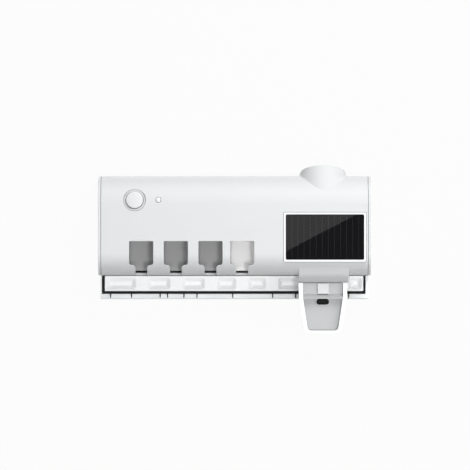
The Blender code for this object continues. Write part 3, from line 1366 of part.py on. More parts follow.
def wall_bracket(material):
    """The plate on the wall, with two hooks that the rear shell drops onto."""
    half = BRACKET_WIDTH / 2
    plate = front_plate(
        "wall_bracket",
        rounded(rectangle(-half, BRACKET_BOTTOM, half, BRACKET_BOTTOM + BRACKET_HEIGHT, BRACKET_CORNER)),
        BRACKET_FRONT_Y, BRACKET_BACK_Y)
    tongue_back_y = REAR_FRONT_Y - GAP
    tongue_front_y = tongue_back_y - HOOK_TONGUE_THICKNESS
    for side in (-1, 1):
        middle = side * HOOK_SPACING / 2
        join(plate, side_plate("hook", rounded([
            (BRACKET_FRONT_Y + BRACKET_THICKNESS / 2, HOOK_BASE_BOTTOM, 0),
            (BRACKET_FRONT_Y + BRACKET_THICKNESS / 2, HOOK_BASE_BOTTOM + HOOK_BASE_THICKNESS, 0),
            (tongue_back_y, HOOK_BASE_BOTTOM + HOOK_BASE_THICKNESS, 0),
            (tongue_back_y, HOOK_BASE_BOTTOM + HOOK_TONGUE_HEIGHT, 0),
            (tongue_front_y, HOOK_BASE_BOTTOM + HOOK_TONGUE_HEIGHT, GAP),
            (tongue_front_y, HOOK_BASE_BOTTOM, HOOK_BASE_THICKNESS / 2),
        ]), middle - HOOK_WIDTH / 2, middle + HOOK_WIDTH / 2))
    return finish(plate, material)


def adhesive_pad(material):
    middle = BRACKET_BOTTOM + BRACKET_HEIGHT / 2
    pad = front_plate(
        "adhesive_pad",
        rounded(rectangle(-PAD_WIDTH / 2, middle - PAD_HEIGHT / 2, PAD_WIDTH / 2, middle + PAD_HEIGHT / 2,
                          PAD_CORNER)),
        -PAD_THICKNESS, 0)
    return finish(pad, material)


def rear_screw(name, x, z, material):
    """A small screw from behind: a domed head with a hexagon socket, and a plain shank."""
    head_base = REAR_BACK_Y + GAP
    profile = [
        (0, SCREW_HEAD_HEIGHT),
        (SCREW_HEAD_RADIUS / 2, SCREW_HEAD_HEIGHT),
        (SCREW_HEAD_RADIUS, SCREW_HEAD_HEIGHT / 2),
        (SCREW_HEAD_RADIUS, 0),
        (SCREW_SHANK_RADIUS, 0),
        (SCREW_SHANK_RADIUS, -SCREW_LENGTH),
        (0, -SCREW_LENGTH),
    ]
    where = place(x, head_base, z, TOWARDS_WALL)
    screw = turned(name, profile, where, SCREW_STEPS)
    cut(screw, cylinder("hexagon", HEX_RADIUS, HEX_DEPTH + OVERRUN,
                        where @ Matrix.Translation((0, 0, SCREW_HEAD_HEIGHT - HEX_DEPTH)), HEX_SIDES))
    return finish(screw, material)


def rib_positions():
    return [*BRUSH_WINDOW_XS, RAZOR_WINDOW_X, *(share * HOUSING_WIDTH for share in EXTRA_RIB_SHARES)]


def neck_rest_panel(material):
    """The panel in the apron against which the brush handles rest: soft pockets between ribs."""
    panel = box(
        "neck_rest_panel",
        (PANEL_LEFT, APRON_FRONT_Y, PANEL_BOTTOM),
        (PANEL_RIGHT, APRON_FRONT_Y + PANEL_THICKNESS, PANEL_TOP),
    )
    edges = [PANEL_LEFT + POCKET_EDGE - RIB_WIDTH / 2, *rib_positions(), PANEL_RIGHT - POCKET_EDGE + RIB_WIDTH / 2]
    for left, right in zip(edges, edges[1:]):
        outline = rounded(rectangle(
            left + RIB_WIDTH / 2, POCKET_BOTTOM, right - RIB_WIDTH / 2, POCKET_TOP, POCKET_CORNER))
        cut(panel, front_plate("pocket", outline, APRON_FRONT_Y - OVERRUN, APRON_FRONT_Y + POCKET_DEPTH))
    return finish(panel, material)


def apron_trim(material):
    """The dark strip around the panel's sides and bottom, with short teeth over the lip."""
    front_y = APRON_FRONT_Y - TRIM_PROUD
    trim = box("apron_trim", (TRIM_LEFT, front_y, TRIM_BOTTOM), (TRIM_RIGHT, front_y + TRIM_DEPTH, PANEL_TOP))
    cut(trim, box(
        "trim_hole",
        (PANEL_LEFT - GAP, front_y - OVERRUN, PANEL_BOTTOM - GAP),
        (PANEL_RIGHT + GAP, front_y + TRIM_DEPTH + OVERRUN, PANEL_TOP + OVERRUN),
    ))
    for share in TICK_SHARES:
        x = share * HOUSING_WIDTH
        join(trim, box(
            "tooth",
            (x - TICK_WIDTH / 2, front_y, TICK_BOTTOM),
            (x + TICK_WIDTH / 2, APRON_FRONT_Y - GAP, TRIM_BOTTOM + GAP),
        ))
    return finish(trim, material)


def build():
    white = plastic("white_plastic", (0.86, 0.87, 0.88), 0.32)
    cap_white = plastic("cap_white_plastic", (0.87, 0.88, 0.89), 0.34)
    rear_white = plastic("rear_white_plastic", (0.85, 0.86, 0.87), 0.42)
    front_housing(white)
    finish(end_cap("left_end_cap", -1), cap_white)
    finish(end_cap("right_end_cap", 1), cap_white)
    rear_shell(rear_white)
    wall_bracket(plastic("bracket_plastic", (0.78, 0.79, 0.80), 0.5))
    adhesive_pad(plastic("adhesive_foam", (0.70, 0.71, 0.70), 0.9))

    grey = plastic("bay_grey_plastic", (0.30, 0.30, 0.31), 0.45)
    for number, x in enumerate(BRUSH_WINDOW_XS, start=1):
        bay_liner("brush_bay_%d" % number, x, 0, 0, grey)
    razor_white = plastic("razor_bay_plastic", (0.72, 0.71, 0.70), 0.4)
    bay_liner("razor_bay", RAZOR_WINDOW_X, RAZOR_TAPER_LEFT, RAZOR_TAPER_RIGHT, razor_white)
    uv_lamp(plastic("lamp_glass", (0.80, 0.84, 0.93), 0.08, alpha=0.6))
    holder = plastic("lamp_holder_plastic", (0.12, 0.12, 0.13), 0.5)
    lamp_holder("lamp_holder_left", BRUSH_WINDOW_XS[0] - LAMP_END_ROOM, -1, holder)
    lamp_holder("lamp_holder_right", RAZOR_WINDOW_X + LAMP_END_ROOM, 1, holder)

    cover_y = HOUSING_FRONT_Y - SOLAR_BEZEL_PROUD + SOLAR_COVER_SUNK
    cells_y = cover_y + SOLAR_COVER_THICKNESS + GAP
    backing_y = cells_y + SOLAR_CELL_THICKNESS + GAP
    solar_bezel(plastic("bezel_plastic", (0.90, 0.91, 0.92), 0.25))
    solar_layer("solar_cover", cover_y, SOLAR_COVER_THICKNESS, 0, SOLAR_CORNER,
                plastic("solar_glass", (0.05, 0.05, 0.06), 0.06, alpha=0.5))
    solar_layer("solar_cells", cells_y, SOLAR_CELL_THICKNESS, -SOLAR_BORDER, 0,
                plastic("solar_silicon", (0.02, 0.02, 0.025), 0.2, metallic=0.3))
    solar_layer("solar_backing", backing_y, SOLAR_BACKING_THICKNESS, 0, SOLAR_CORNER,
                plastic("solar_board", (0.01, 0.01, 0.012), 0.5))

    power_button(plastic("button_plastic", (0.84, 0.85, 0.86), 0.3))
    button_ring(plastic("ring_plastic", (0.72, 0.73, 0.74), 0.35))
    switch_plunger(plastic("plunger_plastic", (0.05, 0.05, 0.05), 0.5))
    tact_switch(plastic("switch_metal", (0.45, 0.45, 0.46), 0.35, metallic=0.9))
    control_board(plastic("circuit_board", (0.03, 0.16, 0.07), 0.5))
    sensor_lens(plastic("lens_plastic", (0.86, 0.87, 0.90), 0.12))
    battery_cell(plastic("battery_sleeve", (0.05, 0.22, 0.42), 0.4))
    battery_cradle(plastic("cradle_plastic", (0.08, 0.08, 0.09), 0.55))
    charging_socket(plastic("socket_steel", (0.60, 0.60, 0.62), 0.3, metallic=1.0))

    paste_funnel(plastic("funnel_plastic", (0.80, 0.81, 0.82), 0.35))
    socket_seal(plastic("seal_silicone", (0.55, 0.56, 0.58), 0.6))
    feed_hose(plastic("hose_silicone", (0.75, 0.75, 0.74), 0.55))
    pump_body(plastic("pump_plastic", (0.82, 0.83, 0.84), 0.4))
    lever_pin(plastic("pin_steel", (0.60, 0.60, 0.62), 0.3, metallic=1.0))
    pump_plunger(plastic("piston_plastic", (0.88, 0.88, 0.86), 0.4))
    return_spring(plastic("spring_steel", (0.62, 0.62, 0.64), 0.25, metallic=1.0))

    pivot = frame_empty("lever_pivot", place(LEVER_X, PIVOT_Y, PIVOT_Z), HOLDER)
    for piece, material in (
        dispenser_lever(plastic("lever_plastic", (0.86, 0.87, 0.88), 0.32)),
        outlet_nozzle(plastic("nozzle_silicone", (0.015, 0.015, 0.015), 0.5)),
        outlet_block(plastic("block_plastic", (0.88, 0.89, 0.90), 0.3)),
    ):
        finish(piece, material, pivot)

    steel = plastic("screw_steel", (0.50, 0.50, 0.52), 0.35, metallic=1.0)
    for number, (x, z) in enumerate(post_places(), start=1):
        rear_screw("rear_screw_%d" % number, x, z, steel)
    neck_rest_panel(plastic("panel_plastic", (0.83, 0.84, 0.85), 0.4))
    apron_trim(plastic("trim_rubber", (0.012, 0.012, 0.013), 0.55))


clear_scene()
PARTS = new_collection("uv_toothbrush_holder")
CUTTERS = new_collection("cutters")
HOLDER = frame_empty("holder", place(0, 0, -MOUNT_HEIGHT))
build()
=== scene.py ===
import math

import bmesh
import bpy
import numpy as np
from mathutils import Matrix, Vector


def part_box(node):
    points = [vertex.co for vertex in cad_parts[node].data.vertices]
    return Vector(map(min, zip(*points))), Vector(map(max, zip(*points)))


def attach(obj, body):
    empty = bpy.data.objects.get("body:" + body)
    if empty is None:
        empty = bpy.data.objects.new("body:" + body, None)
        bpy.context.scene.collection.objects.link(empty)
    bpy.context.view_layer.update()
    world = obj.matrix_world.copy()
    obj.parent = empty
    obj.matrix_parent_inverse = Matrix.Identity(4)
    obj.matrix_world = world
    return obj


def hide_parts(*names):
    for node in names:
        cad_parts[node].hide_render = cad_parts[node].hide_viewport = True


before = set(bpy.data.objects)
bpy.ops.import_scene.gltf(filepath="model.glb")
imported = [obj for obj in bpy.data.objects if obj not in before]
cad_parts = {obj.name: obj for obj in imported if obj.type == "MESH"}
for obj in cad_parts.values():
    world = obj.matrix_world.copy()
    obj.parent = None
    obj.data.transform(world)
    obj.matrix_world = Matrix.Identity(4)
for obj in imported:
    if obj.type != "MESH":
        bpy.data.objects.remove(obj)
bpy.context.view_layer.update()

scene = bpy.context.scene
scene.view_settings.view_transform = "Standard"

# The wall and the floor: a plain pale studio corner. Both are seen from their front only, so
# that a view from behind the wall or from below the floor still shows the holder.
WALL_Y, FLOOR_Z = 0.0006, -0.6
STUDIO_HALF, STUDIO_FRONT, STUDIO_TOP = 3, -4, 2.4


def feed(tree, node, inputs):
    """Fills a node's inputs, each from another node's socket or with a plain value."""
    for key, value in inputs.items():
        if isinstance(value, bpy.types.NodeSocket):
            tree.links.new(value, node.inputs[key])
        else:
            node.inputs[key].default_value = value
    return node


def add_node(tree, kind, inputs=None, **settings):
    node = tree.nodes.new(kind)
    for key, value in settings.items():
        setattr(node, key, value)
    return feed(tree, node, inputs or {})


def worked(tree, operation, first, second=0.5):
    """One sum in a node tree; each side is a socket or a plain number."""
    return add_node(tree, "ShaderNodeMath", {0: first, 1: second}, operation=operation).outputs[0]


def own_place(tree):
    """Where a point lies in its piece's own coordinates, so that a pattern sticks to the piece."""
    return tree.nodes.new("ShaderNodeTexCoord").outputs["Object"]


def noise(tree, scale, detail=2.0, stretch=None):
    place = own_place(tree)
    if stretch:
        place = add_node(tree, "ShaderNodeMapping", {"Vector": place, "Scale": stretch}).outputs["Vector"]
    texture = add_node(tree, "ShaderNodeTexNoise", {"Vector": place, "Scale": scale, "Detail": detail})
    return texture.outputs["Fac"]


def blend(tree, share, low, high):
    """A colour between two, each a plain colour or a socket."""
    low, high = (c if isinstance(c, bpy.types.NodeSocket) else (*c, 1) for c in (low, high))
    mix = add_node(tree, "ShaderNodeMix", {"Factor": share, "A": low, "B": high}, data_type="RGBA")
    return mix.outputs["Result"]


def shader_mix(tree, share, first, second):
    return add_node(tree, "ShaderNodeMixShader", {"Fac": share, 1: first, 2: second}).outputs[0]


def new_material(name):
    material = bpy.data.materials.new(name)
    material.use_nodes = True
    return material, material.node_tree, material.node_tree.nodes["Principled BSDF"]


def studio_paint(name, whiteness):
    """Matt paint that glows to the camera and in glass, and is clear from behind and to shadows."""
    material, tree, shader = new_material(name)
    feed(tree, shader, {"Base Color": blend(tree, noise(tree, 3.0), (0.42, 0.42, 0.42), (0.44, 0.44, 0.44)),
                        "Roughness": 0.9, "Specular IOR Level": 0.1})
    glow = add_node(tree, "ShaderNodeEmission", {"Strength": 1.0})
    clear = tree.nodes.new("ShaderNodeBsdfTransparent")
    ray = tree.nodes.new("ShaderNodeLightPath").outputs
    side = tree.nodes.new("ShaderNodeNewGeometry").outputs
    watched = worked(tree, "MAXIMUM", ray["Is Camera Ray"], ray["Is Glossy Ray"])
    watched = worked(tree, "MAXIMUM", watched, ray["Is Transmission Ray"])
    lit = shader_mix(tree, worked(tree, "MULTIPLY", watched, whiteness), shader.outputs[0], glow.outputs[0])
    passed = worked(tree, "MAXIMUM", side["Backfacing"], ray["Is Shadow Ray"])
    tree.links.new(shader_mix(tree, passed, lit, clear.outputs[0]),
                   tree.nodes["Material Output"].inputs["Surface"])
    return material


def stage_sheet(name, corners, material, unseen_by=()):
    """One flat face of the studio around the holder."""
    mesh = bpy.data.meshes.new(name)
    mesh.from_pydata(corners, [], [tuple(range(len(corners)))])
    mesh.materials.append(material)
    sheet = bpy.data.objects.new(name, mesh)
    for ray in unseen_by:
        setattr(sheet, "visible_" + ray, False)
    scene.collection.objects.link(sheet)


stage_sheet("wall", [(-STUDIO_HALF, WALL_Y, FLOOR_Z), (STUDIO_HALF, WALL_Y, FLOOR_Z),
                     (STUDIO_HALF, WALL_Y, STUDIO_TOP), (-STUDIO_HALF, WALL_Y, STUDIO_TOP)],
            studio_paint("wall_paint", 0.95))
stage_sheet("floor", [(-STUDIO_HALF, STUDIO_FRONT, FLOOR_Z), (STUDIO_HALF, STUDIO_FRONT, FLOOR_Z),
                      (STUDIO_HALF, WALL_Y, FLOOR_Z), (-STUDIO_HALF, WALL_Y, FLOOR_Z)],
            studio_paint("floor_paint", 0.90))

# The light: a white tent. Pale air fills in from all around, low soft boxes in front light the
# lower arc and the lever, and smaller ones shade the ends. The camera itself sees white air.
TENT_COLOUR = (0.97, 0.985, 1.0, 1)
world = bpy.data.worlds.new("studio_air")
scene.world = world
world.use_nodes = True
air = world.node_tree
air_ray = air.nodes.new("ShaderNodeLightPath").outputs
thin_air = feed(air, air.nodes["Background"], {"Color": TENT_COLOUR, "Strength": 0.14})
soft_air = add_node(air, "ShaderNodeBackground", {"Color": TENT_COLOUR, "Strength": 0.45})
white_air = add_node(air, "ShaderNodeBackground", {"Color": (1, 1, 1, 1), "Strength": 1.0})
tent = shader_mix(air, air_ray["Is Diffuse Ray"], thin_air.outputs[0], soft_air.outputs[0])
tent = shader_mix(air, air_ray["Is Camera Ray"], tent, white_air.outputs[0])
air.links.new(tent, air.nodes["World Output"].inputs["Surface"])

for name, place, target, size, power in (
        ("front_softbox", (-0.22, -2.95, -0.38), (0, 0, 0), 0.4, 10),
        ("front_right_softbox", (0.47, -2.95, -0.38), (0, 0, 0), 0.4, 20),
        ("top_softbox", (0.40, -0.80, 0.90), (0, 0, 0), 0.6, 10),
        ("right_softbox", (0.92, -0.90, -0.20), (0, -0.05, 0), 0.6, 3),
        ("left_softbox", (-2.20, -1.50, -0.10), (0, 0, 0), 0.8, 2),
        ("back_fill", (-0.6, 2.2, 1.0), (0, 0, 0), 1.4, 26)):
    lamp = bpy.data.lights.new(name, "AREA")
    lamp.shape = "SQUARE"
    lamp.size = size
    lamp.energy = power
    holder = bpy.data.objects.new(name, lamp)
    scene.collection.objects.link(holder)
    holder.location = place
    holder.rotation_euler = (Vector(target) - Vector(place)).to_track_quat("-Z", "Y").to_euler()

# The camera stands level with the housing, 5 m in front of it, and a white card between them, cut
# aslant and out of its sight, shows in the solar panel's glass as a pale slanting patch.
LOWER_EDGE = -0.045
FRONT_Y = -0.062
CAMERA_DISTANCE = 5.0
CAMERA_X, CAMERA_HEIGHT = 0.00045, 0.0362
SENSOR_WIDTH = 36
VIEW_WIDTH = 0.4202
CARD_DISTANCE = 2.85
CARD_LEFT, CARD_CUT, CARD_RIGHT = 0.0156, 0.0685, 0.1690
CARD_LOW, CARD_CUT_HIGH, CARD_HIGH = 0.0115, 0.0637, 0.1325


def raised(height):
    """The shared frame's z for a height above the housing's lower edge."""
    return height + LOWER_EDGE


camera_data = bpy.data.cameras.new("camera")
camera_data.sensor_width = SENSOR_WIDTH
camera_data.lens = SENSOR_WIDTH * CAMERA_DISTANCE / VIEW_WIDTH
camera = bpy.data.objects.new("camera", camera_data)
camera.location = (CAMERA_X, FRONT_Y - CAMERA_DISTANCE, raised(CAMERA_HEIGHT))
camera.rotation_euler = (math.radians(90), 0, 0)
scene.collection.objects.link(camera)
scene.camera = camera

card_paint, card_tree, _ = new_material("card_paint")
card_glow = add_node(card_tree, "ShaderNodeEmission", {"Strength": 0.85})
card_tree.links.new(card_glow.outputs[0], card_tree.nodes["Material Output"].inputs["Surface"])
stage_sheet("reflected_card", [(x, FRONT_Y - CARD_DISTANCE, raised(height)) for x, height in (
    (CARD_CUT, CARD_LOW), (CARD_RIGHT, CARD_CUT_HIGH), (CARD_RIGHT, CARD_HIGH), (CARD_LEFT, CARD_HIGH),
    (CARD_LEFT, CARD_LOW))], card_paint, ("camera", "diffuse", "shadow"))

# The front housing: one injection moulding in satin white plastic. A D-shaped shell carries four
# windows, the seats of the solar panel and the button, the leaning collar, which flows into the
# top with a soft fillet, and the chin that hides the lever's pivot.
WALL = 0.0022
BACK_Y, BACK_ROOM = -0.0066, 0.004
HEIGHT = 0.089
SHELL_HALF = 0.1195
TOP_RADIUS, BOTTOM_RADIUS = 0.026, 0.020
ARC_POINTS, CORNER_POINTS = 26, 8
CARVE_REACH, CLEAN_REACH = 1e-6, 2e-6
EDGE_ANGLE = 40


def rounded(corners, arc_points=ARC_POINTS):
    """An outline from corners (u, v, radius), each corner with a radius turned into an arc."""
    points = []
    for index, (u, v, radius) in enumerate(corners):
        corner = Vector((u, v))
        if radius == 0:
            points.append(corner)
            continue
        before = (Vector(corners[index - 1][:2]) - corner).normalized()
        after = (Vector(corners[(index + 1) % len(corners)][:2]) - corner).normalized()
        half_angle = before.angle(after) / 2
        reach = radius / math.tan(half_angle)
        centre = corner + (before + after).normalized() * radius / math.sin(half_angle)
        start = corner + before * reach - centre
        turn = start.angle_signed(corner + after * reach - centre)
        steps = max(3, round(arc_points * abs(turn) / (math.pi / 2)))
        points += [centre + Matrix.Rotation(-turn * step / steps, 2) @ start for step in range(steps + 1)]
    return points


def at_heights(*corners):
    """Corners whose second number is a height above the housing's lower edge."""
    return [(u, raised(height), *radius) for u, height, *radius in corners]


def framed(left, low, right, high, radius):
    return rounded([(left, low, radius), (right, low, radius), (right, high, radius), (left, high, radius)],
                   CORNER_POINTS)


def as_object(form, name, turn_out=True):
    """Turns a closed form into an object, and its faces outwards where they may not be yet."""
    if turn_out:
        bmesh.ops.recalc_face_normals(form, faces=form.faces)
    mesh = bpy.data.meshes.new(name)
    form.to_mesh(mesh)
    form.free()
    return bpy.data.objects.new(name, mesh)


def prism(name, points, low, high, axis):
    """A closed prism: axis X takes points as (y, z), axis Y as (x, z), axis Z as (x, y)."""
    order = {"X": lambda u, v, w: (w, u, v), "Y": lambda u, v, w: (u, w, v),
             "Z": lambda u, v, w: (u, v, w)}[axis]
    form = bmesh.new()
    lower = [form.verts.new(order(u, v, low)) for u, v in points]
    upper = [form.verts.new(order(u, v, high)) for u, v in points]
    form.faces.new(lower)
    form.faces.new(upper)
    for index in range(len(points)):
        after = (index + 1) % len(points)
        form.faces.new((lower[index], lower[after], upper[after], upper[index]))
    return as_object(form, name)


def rod(name, radius, start, end, sides=64):
    form = bmesh.new()
    bmesh.ops.create_cone(form, cap_ends=True, segments=sides, radius1=radius, radius2=radius,
                          depth=(end - start).length)
    form.transform(Matrix.Translation((start + end) / 2)
                   @ (end - start).to_track_quat("Z", "Y").to_matrix().to_4x4())
    return as_object(form, name, turn_out=False)


def opened(piece):
    form = bmesh.new()
    form.from_mesh(piece.data)
    return form


def clean(form, reach):
    bmesh.ops.remove_doubles(form, verts=form.verts, dist=reach)
    bmesh.ops.dissolve_degenerate(form, dist=reach, edges=form.edges)


def put_back(form, piece):
    form.to_mesh(piece.data)
    form.free()


def triangulate(piece):
    form = opened(piece)
    clean(form, CARVE_REACH)
    bmesh.ops.triangulate(form, faces=form.faces)
    put_back(form, piece)


def settle(piece):
    """Turns what a piece's modifiers make of it into its plain mesh."""
    bpy.context.view_layer.update()
    result = bpy.data.meshes.new_from_object(piece.evaluated_get(bpy.context.evaluated_depsgraph_get()))
    piece.modifiers.clear()
    piece.data = result


def carve(base, steps):
    """Joins or cuts shapes one after another, keeps each result as clean triangles, removes the shapes."""
    scene.collection.objects.link(base)
    for operation, other in steps:
        scene.collection.objects.link(other)
        triangulate(base)
        triangulate(other)
        tool = base.modifiers.new("shape", "BOOLEAN")
        tool.operation = operation
        tool.solver = "EXACT"
        tool.object = other
        settle(base)
        bpy.data.objects.remove(other)
    triangulate(base)
    scene.collection.objects.unlink(base)
    return base


def level_shaded(piece, smooth_angle=EDGE_ANGLE):
    """Shades a piece smooth, while its large faces stay level right up to their rounded edges."""
    piece.data.shade_smooth()
    piece.data.set_sharp_from_angle(angle=math.radians(smooth_angle))
    scene.collection.objects.link(piece)
    levelling = piece.modifiers.new("level_faces", "WEIGHTED_NORMAL")
    levelling.keep_sharp = True
    levelling.weight = 50
    settle(piece)
    scene.collection.objects.unlink(piece)
    return piece


def soften(piece, width, segments=3, smooth_angle=EDGE_ANGLE, clamp=False):
    """Cleans a carved mesh, rounds its sharp edges a little and shades it smooth."""
    form = opened(piece)
    clean(form, CLEAN_REACH)
    bmesh.ops.dissolve_limit(form, angle_limit=math.radians(0.5), verts=form.verts, edges=form.edges)
    if width:
        sharp = [edge for edge in form.edges
                 if len(edge.link_faces) == 2 and edge.calc_face_angle(0) > math.radians(EDGE_ANGLE)]
        bmesh.ops.bevel(form, geom=sharp, offset=width, offset_type="OFFSET", segments=segments, profile=0.5,
                        affect="EDGES", clamp_overlap=clamp)
    bmesh.ops.remove_doubles(form, verts=form.verts, dist=CLEAN_REACH)
    put_back(form, piece)
    return level_shaded(piece, smooth_angle)


def ranged(tree, value, low=0.0, high=1.0, start=0.0, end=1.0):
    """Carries a value from the range start to end over to the range low to high."""
    inputs = {"Value": value, "From Min": start, "From Max": end, "To Min": low, "To Max": high}
    return add_node(tree, "ShaderNodeMapRange", inputs).outputs["Result"]


def uneven(tree, shader, share, low, high, rough, spread):
    """Lets a surface's colour and its sheen wander together."""
    feed(tree, shader, {"Base Color": blend(tree, share, low, high),
                        "Roughness": ranged(tree, share, rough * spread[0], rough * spread[1])})


def emboss(tree, shader, height, strength, distance):
    bump = add_node(tree, "ShaderNodeBump", {"Strength": strength, "Distance": distance, "Height": height})
    tree.links.new(bump.outputs["Normal"], shader.inputs["Normal"])


def moulded(name, colour, rough, grain=0.04, wear=0.02, scale=900.0, specular=0.5):
    """Moulded plastic: a slightly uneven colour, a fine spark-eroded grain and a varying sheen."""
    material, tree, shader = new_material(name)
    shader.inputs["Specular IOR Level"].default_value = specular
    uneven(tree, shader, noise(tree, 24.0, 3.0), [c * (1 - wear) for c in colour],
           [min(1, c * (1 + wear)) for c in colour], rough, (0.88, 1.14))
    emboss(tree, shader, noise(tree, scale, 4.0), grain, 0.0001)
    return material


def dress(piece, body, slot, material, *replaced):
    """Puts a finished piece on its body, with its material, in place of the plain solids it stands for."""
    scene.collection.objects.link(piece)
    piece.data.materials.clear()
    piece.data.materials.append(material)
    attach(piece, body)
    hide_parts(*replaced)


WINDOWS = (-0.0835, -0.0525, -0.0215, 0.0068)
WINDOW_HALF, WINDOW_SHOULDER, WINDOW_TOP = 0.01075, 0.0094, 0.0307
NECK_HALF, NECK_BELOW = 0.00525, -0.004
CUT_FRONT = -0.066


def shell_outline(depth, back_y=BACK_Y):
    """The D-shaped section, set in by a depth all around but for its back."""
    return rounded(at_heights((back_y, depth, 0), (back_y, HEIGHT - depth, 0),
                              (FRONT_Y + depth, HEIGHT - depth, TOP_RADIUS - depth),
                              (FRONT_Y + depth, depth, BOTTOM_RADIUS - depth)))


def front_surface_y(height):
    """The outer surface's y at a height above the lower edge, on the front side."""
    if height > HEIGHT - TOP_RADIUS:
        rise = min(TOP_RADIUS, height - (HEIGHT - TOP_RADIUS))
        return FRONT_Y + TOP_RADIUS - math.sqrt(TOP_RADIUS ** 2 - rise ** 2)
    if height < BOTTOM_RADIUS:
        drop = min(BOTTOM_RADIUS, BOTTOM_RADIUS - height)
        return FRONT_Y + BOTTOM_RADIUS - math.sqrt(BOTTOM_RADIUS ** 2 - drop ** 2)
    return FRONT_Y


def window_outline(x):
    """A window: a box with a narrow neck that runs out through the lower edge."""
    right = [(NECK_HALF, NECK_BELOW, 0), (NECK_HALF, WINDOW_SHOULDER, 0.0028),
             (WINDOW_HALF, WINDOW_SHOULDER, 0.0022), (WINDOW_HALF, WINDOW_TOP, 0.0010)]
    left = [(-half, height, radius) for half, height, radius in right]
    corners = [(x + half, height, radius) for half, height, radius in (left[0], *right, *left[:0:-1])]
    return rounded(at_heights(*corners), CORNER_POINTS)


def neck_slot_outline(x):
    return rounded([(x - NECK_HALF, CUT_FRONT, 0), (x + NECK_HALF, CUT_FRONT, 0),
                    (x + NECK_HALF, -0.036, 0.005), (x - NECK_HALF, -0.036, 0.005)], CORNER_POINTS)


ON_SKIN = 0.00004
SKIN_ANGLE = math.radians(6)
LARGE_FACE = 0.00005


def skin_direction(y, z):
    """Which way the D-shaped surface faces at a point that lies on it, or nothing elsewhere."""
    z -= LOWER_EDGE
    for middle, radius, beyond in ((HEIGHT - TOP_RADIUS, TOP_RADIUS, 1), (BOTTOM_RADIUS, BOTTOM_RADIUS, -1)):
        across, up = y - (FRONT_Y + radius), z - middle
        if across <= ON_SKIN and up * beyond >= -ON_SKIN:
            reach = math.hypot(across, up)
            return Vector((0, across, up)) / reach if abs(reach - radius) < ON_SKIN else None
    if abs(y - FRONT_Y) < ON_SKIN:
        return Vector((0, -1, 0))
    if abs(z - HEIGHT) < ON_SKIN:
        return Vector((0, 0, 1))
    return Vector((0, 0, -1)) if abs(z) < ON_SKIN else None


def skin_shaded(piece):
    """Gives the skin the shading of the true curve, and large faces that meet it their own."""
    mesh = piece.data
    normals = [corner.vector.copy() for corner in mesh.corner_normals]
    for face in mesh.polygons:
        for loop in face.loop_indices:
            at = mesh.vertices[mesh.loops[loop].vertex_index].co
            true = skin_direction(at.y, at.z)
            if true and true.angle(face.normal) < SKIN_ANGLE:
                normals[loop] = true
            elif true and face.area > LARGE_FACE:
                normals[loop] = face.normal
    mesh.normals_split_custom_set(normals)


LEAN = math.radians(9)
SOCKET = Vector((0.0793, -0.0352, raised(HEIGHT)))
SOCKET_UP = Vector((0, math.sin(LEAN), math.cos(LEAN)))
SOCKET_SIDE = Vector((1, 0, 0))
SOCKET_BACK = SOCKET_UP.cross(SOCKET_SIDE)
COLLAR_RADIUS, COLLAR_BORE, COLLAR_SIDES = 0.0204, 0.0184, 120
COLLAR_FOOT_INSIDE, COLLAR_TOP = 0.0192, 0.018
FILLET, FILLET_POINTS, FILLET_DIP = 0.0030, 9, 0.00006
SLOPE_STEP, HALVINGS = 0.0005, 40
RIM_FRONT, RIM_MIDDLE, RIM_BACK = 0.0993, 0.0918, 0.0903


def above_shell(point):
    """How far a point stands outside the D-shaped surface, roughly, and never past its back."""
    y, z = point.y, point.z - LOWER_EDGE
    if z > HEIGHT - TOP_RADIUS and y < FRONT_Y + TOP_RADIUS:
        centre = Vector((FRONT_Y + TOP_RADIUS, HEIGHT - TOP_RADIUS))
        return (Vector((y, z)) - centre).length - TOP_RADIUS
    return max(z - HEIGHT, FRONT_Y - y)


def collar_block():
    """The collar's outer wall with a concave fillet at its foot, as a closed block."""
    form = bmesh.new()
    grid = []
    for side in range(COLLAR_SIDES):
        angle = math.tau * side / COLLAR_SIDES
        outward = SOCKET_SIDE * math.cos(angle) + SOCKET_BACK * math.sin(angle)

        def spot(radius, height):
            return SOCKET + outward * radius + SOCKET_UP * height

        def met(radius, low, high):
            """The height at which the wall meets the shell, found by halving."""
            for _ in range(HALVINGS):
                middle = (low + high) / 2
                low, high = (low, middle) if above_shell(spot(radius, middle)) > 0 else (middle, high)
            return high

        foot = met(COLLAR_RADIUS, -0.030, 0.012)
        slope = (met(COLLAR_RADIUS + SLOPE_STEP, foot - 0.004, foot + 0.004) - foot) / SLOPE_STEP
        along = Vector((1, slope)).normalized()
        reach = FILLET / math.tan(Vector((0, 1)).angle(along) / 2)
        corner = Vector((COLLAR_RADIUS, foot))
        start = Vector((COLLAR_RADIUS, foot + reach))
        end = corner + along * reach
        ring = [spot(COLLAR_RADIUS, COLLAR_TOP)]
        for share in np.linspace(0, 1, FILLET_POINTS):
            at = start * (1 - share) ** 2 + corner * 2 * share * (1 - share) + end * share ** 2
            at.y -= FILLET_DIP * share
            ring.append(spot(at.x, at.y))
        sunk = end + along * 0.0004 - Vector((0, 0.0006))
        ring += [spot(sunk.x, sunk.y), spot(COLLAR_FOOT_INSIDE, foot - 0.0016)]
        grid.append([form.verts.new(point) for point in ring])
    foot_middle = form.verts.new(SOCKET + SOCKET_UP * -0.006)
    for here, there in zip(grid, grid[1:] + grid[:1]):
        for level in range(len(here) - 1):
            form.faces.new((here[level], there[level], there[level + 1], here[level + 1]))
    form.faces.new([ring[0] for ring in grid])
    for here, there in zip(grid, grid[1:] + grid[:1]):
        form.faces.new((here[-1], there[-1], foot_middle))
    return as_object(form, "collar")


